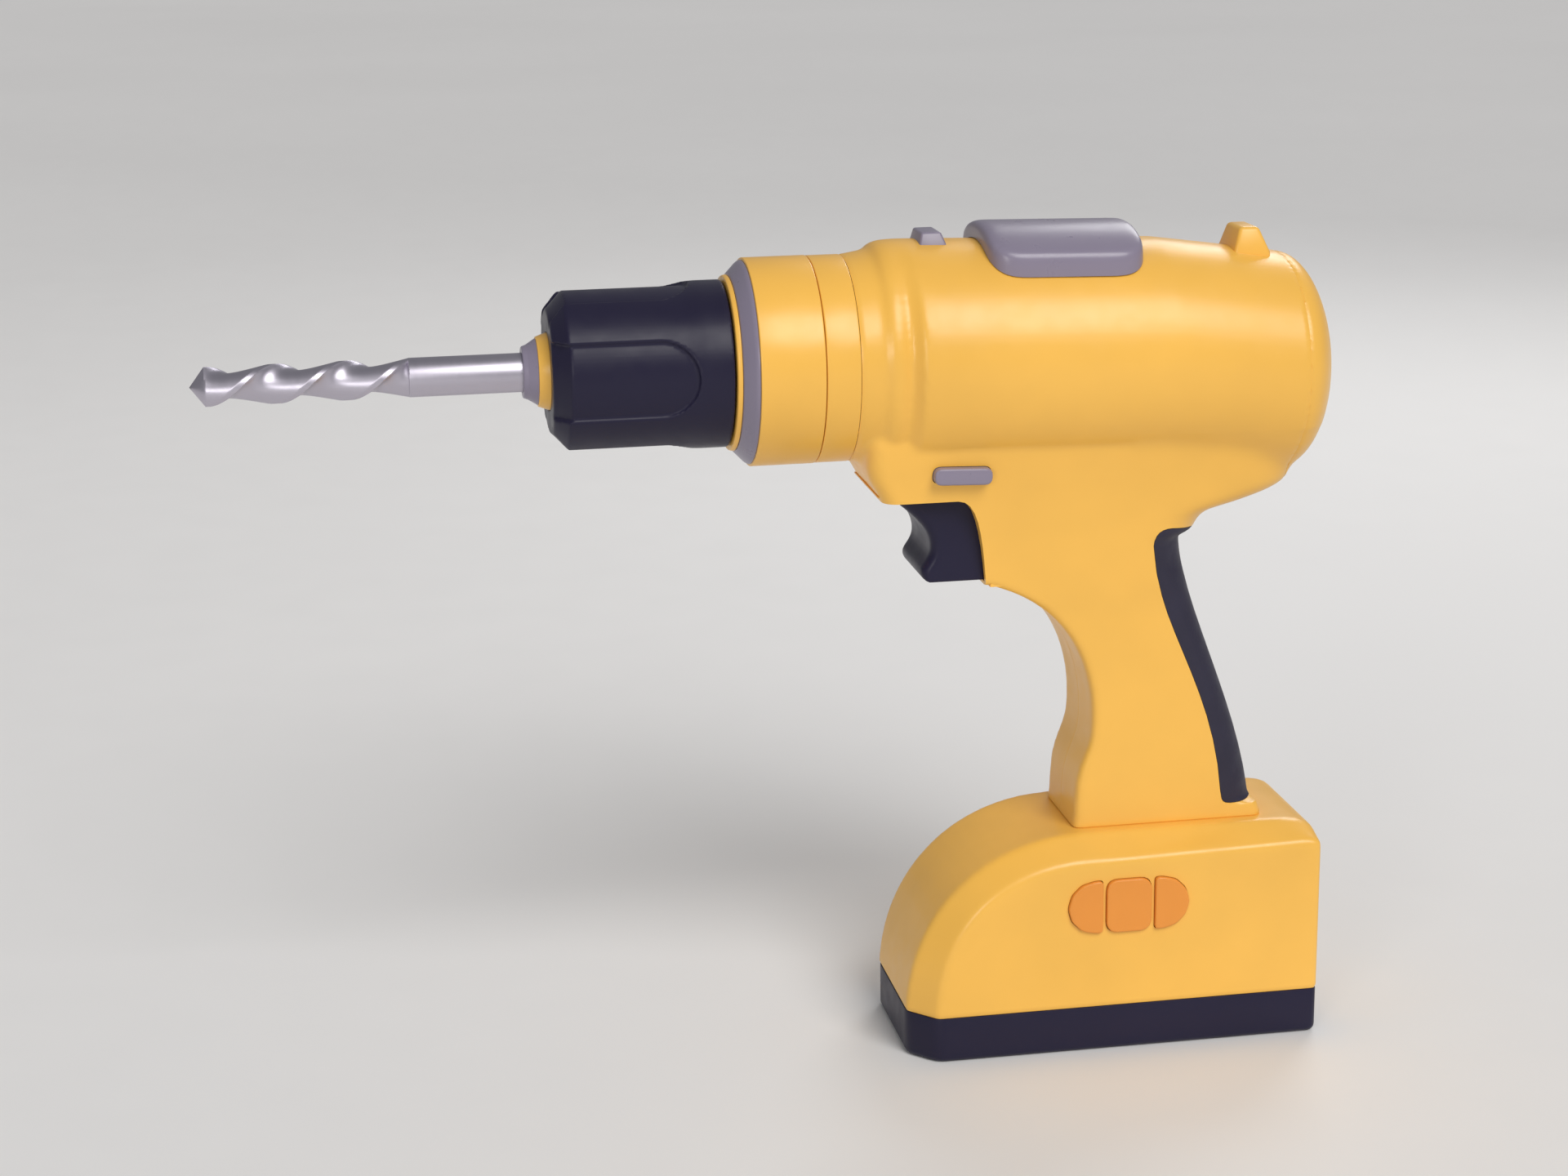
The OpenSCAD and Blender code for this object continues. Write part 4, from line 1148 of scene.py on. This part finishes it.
def side_outline():
    """Side outline at the pack's sides, taken in at the front and top only."""
    rear = PACK_HALF_L - REAR_INSET
    top = FOOT_Z - 5.2
    corner = curve((rear - 3, top + 1.3), (rear - 1, top + 1.4), (rear, top + 1), (rear, top), 7)
    return pack_front(SIDE_INSET, top) + corner + [(rear, COVER_H - 5)]


def pack_form():
    """The pack's soft block: full length in the middle, taken in towards its sides."""
    middle = across("pack_form", middle_outline(), -MIDDLE_HALF_W, MIDDLE_HALF_W)
    for s in (-1, 1):
        cheek = drawn("cheek", [(x, s * MIDDLE_HALF_W, z) for x, z in middle_outline()], filled=False)
        rim = drawn("rim", [(x, s * PACK_HALF_W, z) for x, z in side_outline()], filled=False)
        joined([cheek, rim])
        begin(cheek)
        bpy.ops.mesh.select_mode(type="EDGE")
        bpy.ops.mesh.select_all(action="SELECT")
        bpy.ops.mesh.bridge_edge_loops()
        choose_points(cheek, lambda p: abs(p.y - s * MIDDLE_HALF_W) < 0.01)
        bpy.ops.mesh.edge_face_add()
        choose_points(cheek, lambda p: abs(p.y - s * PACK_HALF_W) < 0.01)
        bpy.ops.mesh.edge_face_add()
        end()
        face_outwards(cheek)
        cut(middle, cheek, "UNION")
    return melted(middle, voxel=0.7, rounds=11)


BUTTON_Z = 37.4
BUTTON_H = 13.4
CENTRE_X = (low("centre_button").x + high("centre_button").x) / 2
CENTRE_L = 11.2
SIDE_L = 8.6
SIDE_R = 6.6
SIDE_GAP = 0.9
BUTTON_GAP = 0.12
BUTTON_FACE_Y = low("centre_button").y


def side_button_outline(side, grow=0):
    """A D shape: flat towards the centre button, round away from it."""
    flat_x = CENTRE_X + side * (CENTRE_L / 2 + SIDE_GAP - grow)
    round_x = CENTRE_X + side * (CENTRE_L / 2 + SIDE_GAP + SIDE_L - SIDE_R)
    r = SIDE_R + grow
    arc = [(round_x + side * r * math.cos(a), BUTTON_Z + r * math.sin(a))
           for a in (math.pi / 2 - math.pi * k / 18 for k in range(0, 19, 3))]
    corners = [(flat_x, BUTTON_Z - r), (flat_x, BUTTON_Z + r)]
    return rounded([*corners, *arc], 0.9, 3)


def centre_button_outline(grow=0):
    """A soft square."""
    half_l, half_h = CENTRE_L / 2 + grow, BUTTON_H / 2 + grow
    corners = [(CENTRE_X + sx * half_l, BUTTON_Z + sz * half_h)
               for sx, sz in ((-1, -1), (1, -1), (1, 1), (-1, 1))]
    return rounded(corners, 3, 5)


def button_outlines(grow=0):
    """Outlines of the three buttons by node, grown where they cut an opening."""
    return {"left_button": side_button_outline(-1, grow), "centre_button": centre_button_outline(grow),
            "right_button": side_button_outline(1, grow)}


def pack_holes():
    """The rooms for the buttons and the way for the wires, as one tool."""
    rooms = [across("room", outline, -THROUGH, -18) for outline in button_outlines(BUTTON_GAP).values()]
    wires = box_tool("wire_way", (6, -7, FOOT_Z - 6), (20, 7, FOOT_Z + 5))
    return joined([*rooms, wires])


# The middle one of five slots, and the step from each to the next
SLOT_X0 = 7.2
SLOT_X1 = 8.8
SLOT_PITCH = 4
SLOT_BOTTOM = 28
SLOT_TOP = 41


def make_battery_shell():
    """The pack as a walled skin, with the slots in front of the speaker."""
    pack = pack_form()
    cut(pack, pack_holes())
    sliced(pack, (0, 0, COVER_H), (0, 0, -1))
    tucked_rim(pack, PACK_SEAM_DEPTH)
    walled(pack, WALL)
    slots = [box_tool("slot", (SLOT_X0 + SLOT_PITCH * k, 18, SLOT_BOTTOM),
                      (SLOT_X1 + SLOT_PITCH * k, THROUGH, SLOT_TOP)) for k in range(-2, 3)]
    cut(pack, joined(slots))
    pack.name = "pack_shell"
    hand_over(pack, YELLOW, "battery_shell")


BASE_SCREWS = [(-42, -13), (-42, 13), (43, -14), (43, 14)]
BASE_POST_R = 4.6
BASE_POST_TOP = 4.9
BASE_RECESS_R = 3.1
BASE_RECESS_TOP = 2.6
BASE_HOLE_R = 1.6


def upright_rod(x, y, radius, z0, z1):
    """A round bar along z, as a tool."""
    bpy.ops.object.select_all(action="DESELECT")
    bpy.ops.mesh.primitive_cylinder_add(vertices=40, radius=radius * MM, depth=(z1 - z0) * MM,
                                        location=at(x, y, (z0 + z1) / 2))
    return settle("rod")


def on_outside(p):
    """Whether a point of the tray's top edge is on its outer outline."""
    cut_corner = (PACK_HALF_L + p.x) / SIDE_INSET + (PACK_HALF_W - abs(p.y)) / SIDE_INSET_W
    return abs(p.x) > PACK_HALF_L - 0.8 or abs(p.y) > PACK_HALF_W - 0.8 or cut_corner < 1.12


def make_base_cover():
    """The dark tray under the pack, with rounded outside edges and four screw holes."""
    plan = [(-PACK_HALF_L, -MIDDLE_HALF_W), (-PACK_HALF_L + SIDE_INSET, -PACK_HALF_W),
            (PACK_HALF_L - REAR_INSET, -PACK_HALF_W), (PACK_HALF_L, -MIDDLE_HALF_W),
            (PACK_HALF_L, MIDDLE_HALF_W), (PACK_HALF_L - REAR_INSET, PACK_HALF_W),
            (-PACK_HALF_L + SIDE_INSET, PACK_HALF_W), (-PACK_HALF_L, MIDDLE_HALF_W)]
    footprint = drawn("pack_base", [(x, y, 0) for x, y in rounded(plan, 2.4, 5)])
    tray = raised(footprint, (0, 0, COVER_H))
    begin(tray)
    bpy.ops.mesh.select_mode(type="FACE")
    mesh = bmesh.from_edit_mesh(tray.data)
    for face in mesh.faces:
        face.select_set(face.normal.z > 0.9)
    bmesh.update_edit_mesh(tray.data)
    bpy.ops.mesh.inset(thickness=WALL * MM)
    bpy.ops.mesh.extrude_region_move(TRANSFORM_OT_translate={"value": at(0, 0, WALL - COVER_H)})
    choose_edges(tray, lambda a, b: max(a.z, b.z) < 0.01)
    bpy.ops.mesh.bevel(offset=1.7 * MM, segments=5, affect="EDGES")
    choose_edges(tray, lambda a, b: min(a.z, b.z) > COVER_H - 0.01
                 and on_outside(a) and on_outside(b))
    bpy.ops.mesh.bevel(offset=0.35 * MM, segments=2, affect="EDGES")
    end()
    posts = [upright_rod(x, y, BASE_POST_R, 0.5, BASE_POST_TOP) for x, y in BASE_SCREWS]
    cut(tray, joined(posts), "UNION")
    recesses = [upright_rod(x, y, BASE_RECESS_R, -1, BASE_RECESS_TOP) for x, y in BASE_SCREWS]
    cut(tray, joined(recesses))
    holes = [upright_rod(x, y, BASE_HOLE_R, BASE_RECESS_TOP - 0.1, 8) for x, y in BASE_SCREWS]
    cut(tray, joined(holes))
    hand_over(tray, NAVY, "base_cover")


def make_push_buttons():
    """Three soft pillows that fill the openings in the pack."""
    names = {"left_button": "push_left", "centre_button": "push_centre", "right_button": "push_right"}
    for node, outline in button_outlines().items():
        button = across(names[node], outline, BUTTON_FACE_Y, high(node).y)
        melted(button, voxel=0.22, rounds=16)
        hand_over(button, ORANGE, node)


# ---- Finishes of the pieces inside, which keep the frame's own meshes ----

FINISHES = {
    "gear_case": CASE, "gear_plate": CASE, "front_bush": BRONZE, "rear_bush": BRONZE,
    "layshaft_pin": STEEL, "motor_can": ZINC, "motor_end_cap": NYLON, "trigger_switch": BLACK,
    "battery_cells": WRAP, "contact_springs": STEEL, "contact_plates": ZINC, "circuit_board": BOARD,
    "button_pads": PAD, "speaker": BLACK, "housing_screws": ZINC, "gear_plate_screws": ZINC,
    "motor_screws": ZINC, "base_screws": ZINC, "spindle_shaft": STEEL, "output_gear": NYLON,
    "shaft_clip": STEEL, "chuck_core": CASE, "compound_gear": NYLON, "motor_shaft": STEEL,
    "motor_pinion": NYLON, "armature": COPPER, "trigger_spring": STEEL}


# ---- The whole drill ----

make_camera()
make_floor()
make_lights()

body_skin = body_form()
make_housing(body_skin)
make_rear_cap(body_skin)
make_grip_insert(body_skin)
bpy.data.objects.remove(body_skin)
make_front_rings()
make_chuck_sleeve()
make_drill_bit()
make_trigger()
make_direction_button()
make_selector()
make_top_pieces()
make_battery_shell()
make_base_cover()
make_push_buttons()

for node, material in FINISHES.items():
    dress(frame["nodes"][node], material)
